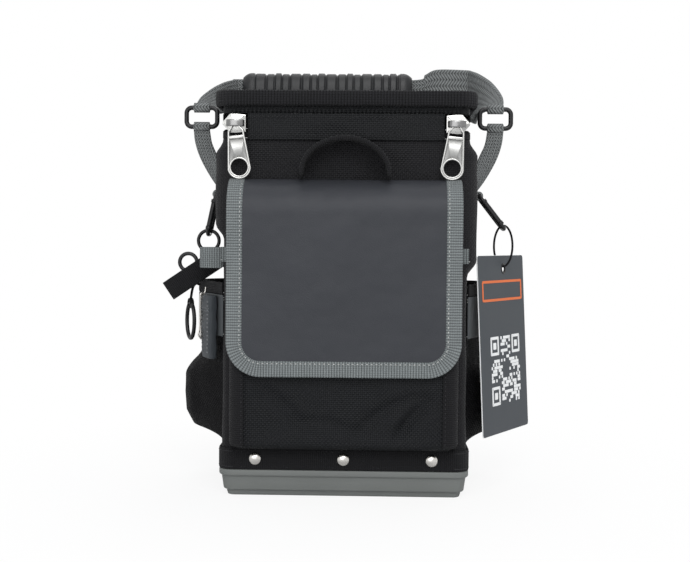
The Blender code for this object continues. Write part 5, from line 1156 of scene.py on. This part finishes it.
# %% Tape strap with its ring
STRAP_Y = -0.014
lean = math.radians(34.0)
strap_along = np.array((-math.cos(lean), 0.0, -math.sin(lean)))
strap_up = np.array((-math.sin(lean), 0.0, math.cos(lean)))
root = np.array((-SIDE_WALL - 0.0085 * math.sin(lean), STRAP_Y, 0.192))
steps = np.linspace(0.0005, 0.0555, 40)[:, None]
path = root + steps * strap_along + 0.0006 * np.sin(steps * 120) * BACK
fold = np.clip((steps[:, 0] - 0.045) / 0.0105, 0, 1)
tape = carried(path, strap_up, BACK, taper(flat_oval(0.0168, 0.0056, 0.28), 1 - 0.25 * fold ** 3))
dress("tape_strap_webbing", BLACK_TAPE, tape, nodes=("tape_strap",))
spot = root + strap_along * 0.028 + strap_up * 0.011
ring = wire(upright(circle * 0.0072, STRAP_Y, spot[::2]), 0.0016, BACK)
dress("tape_ring_wire", BLACK_METAL, ring, nodes=("tape_ring",))

# %% Tool loop
loop = np.radians(np.linspace(0, 180, 60))
path = levelled(np.stack((-0.0997 - 0.0190 * np.sin(loop) ** 0.9, -0.035 + 0.0148 * np.cos(loop)), -1), 0.190)
dress("tool_loop_webbing", GREY_TAPE, ribbon(path, UP, flat_oval(0.0014, 0.0168)), nodes=("tool_loop_band",))

# %% Hanging loop
bend = np.radians(np.linspace(180, 0, 70))
arch = upright(np.stack((0.034 * np.cos(bend), 0.2550 + 0.0290 * np.sin(bend) ** 0.92), -1), -0.0776)
out = beside(arch, BACK)
hang = carried(arch, out, BACK, flat_oval(0.0032, 0.0196, 0.32))
dress("hanging_loop_webbing", BLACK_TAPE, hang, nodes=("hanging_loop",))
arch, out = arch[4:-4], out[4:-4]
dress("hanging_loop_stitches", DARK_THREAD, *[
    threads(arch + out * 0.0017 + BACK * y, out, 0.0033, 0.0023) for y in (-0.0078, 0.0078)
])

# %% [markdown]
# ## Back and inside
# The back carries a padded plate of coated cloth with a sprung steel clip. Inside, a
# divider stands in the bay and a flat sleeve is sewn to it. None of this shows in the
# photograph, so it is plain and of the usual kind.

# %% Back plate
outline = even(rounded(0.0318, 0.0358, 0.006, 8) + (0, 0.221), 160, closed=True)
rows = [upright(shrunk(outline, inward), y)
        for y, inward in ((0.0655, 0.0), (0.0667, 0.0), (0.0675, 0.0006), (0.0677, 0.0022))]
dress("clip_backing_pad", MOUNT_SKIN, woven(np.stack(rows), tube=True), nodes=("clip_backing",))
ring = rejoined(upright(shrunk(outline, 0.0030), 0.0678))
dress("clip_backing_stitches", PALE_THREAD, threads(ring, BACK))

# %% Divider and tool sleeve
sheet = curtain(0.0925, 0.0035, 0.2498, 60, 60, 0.016, 0.0002, 60, 40)
dress("bay_divider", POCKET_CLOTH, sheet, nodes=("divider",), thick=(0.0022, 0.0))
SLEEVE_LOW, SLEEVE_HIGH = 0.0755, 0.1798
outline = even(rounded(0.0598, 0.0108, 0.008, 8) + (0, 0.0033), 120, closed=True)
rows = [levelled(shrunk(outline, 0.0040 * max(1 - (z - SLEEVE_LOW) / 0.008, 0) ** 2), z)
        for z in np.linspace(SLEEVE_LOW, SLEEVE_HIGH, 40)]
sleeve = woven(np.stack(rows), tube=True, ends=(0,))
dress("tool_sleeve_cloth", SIDE_SKIN, sleeve, nodes=("tool_sleeve",), thick=(0.0020, -1.0))

# %% Steel pieces that the frame already shapes
for node, finish in (("belt_clip", STEEL), ("clip_screw_left", NICKEL), ("clip_screw_right", NICKEL)):
    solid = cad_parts[node]
    solid.data.materials.clear()
    solid.data.materials.append(finish.material)

# %% [markdown]
# ## Stage
# A pale floor that turns white with distance from the pouch, four soft lamps and a
# low, even sky. The camera stands where the photograph was taken from: a little right
# of the middle, at the height of the flap's upper half, 0.9 m in front of the body.

# %% Floor and sky
floor_mesh = bpy.data.meshes.new("floor")
floor_mesh.from_pydata([(-3, -3, 0), (3, -3, 0), (3, 3, 0), (-3, 3, 0)], [], [(0, 1, 2, 3)])
floor = bpy.data.objects.new("floor", floor_mesh)
scene.collection.objects.link(floor)
floor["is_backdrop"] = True
pale = bpy.data.materials.new("pale floor")
floor_mesh.materials.append(pale)
tree = Nodes(pale)
distance = tree.node("VectorMath", {0: tree.node("TexCoord", {}, "Object")}, "Value", operation="LENGTH")
glow = tree.span(distance, 0.14, 0.42, 0.88, 1.0, interpolation_type="SMOOTHSTEP")
tree.node("OutputMaterial", {0: tree.node("MixShader", {
    0: tree.maths("MULTIPLY", glow, tree.node("LightPath", {}, "Is Camera Ray")),
    1: tree.node("BsdfDiffuse", {"Color": (0.86, 0.86, 0.86, 1)}),
    2: tree.node("Emission", {"Color": (1, 1, 1, 1)}),
})})

scene.world = bpy.data.worlds.new("sky")
tree = Nodes(scene.world)
seen, through, reflected = (
    tree.node("LightPath", {}, f"Is {word} Ray") for word in ("Camera", "Transmission", "Glossy"))
tree.node("OutputWorld", {0: tree.node("MixShader", {
    0: tree.maths("MAXIMUM", tree.maths("MAXIMUM", seen, through), reflected),
    1: tree.node("Background", {"Color": (0.95, 0.97, 1.0, 1), "Strength": 0.45}),
    2: tree.node("Background", {"Color": (1, 1, 1, 1), "Strength": 1.0}),
})})

# %% Lamps and camera
def look(obj, place, target, roll_deg=0.0):
    """Put an object at a place with its -Z axis on the target, then roll it."""
    aim = (Vector(target) - Vector(place)).to_track_quat("-Z", "Y").to_matrix().to_4x4()
    obj.matrix_world = Matrix.Translation(place) @ aim @ Matrix.Rotation(math.radians(roll_deg), 4, "Z")
    scene.collection.objects.link(obj)


for name, place, size, power in (("key", (0.25, -1.9, 1.55), 1.3, 30), ("fill", (-0.6, -2.2, 0.35), 1.6, 14),
                                 ("top", (0.1, 0.3, 2.0), 1.4, 12), ("back", (0.4, 2.2, 1.1), 1.6, 16)):
    lamp = bpy.data.lights.new(name, "AREA")
    lamp.shape, lamp.size, lamp.energy = "SQUARE", size, power
    look(bpy.data.objects.new(name, lamp), place, (0, 0, 0.17))

camera = bpy.data.objects.new("camera", bpy.data.cameras.new("camera"))
camera.data.lens, camera.data.sensor_width = 59.34, 36.0
look(camera, (0.0230, -0.9625, 0.2061), (0.0027, -0.1633, 0.1764), 0.49)
scene.camera = camera
scene.view_settings.view_transform = "Standard"

# %% Size of the dressed pouch
low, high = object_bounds()
print("dressed size:", [round(b - a, 4) for a, b in zip(low, high)])
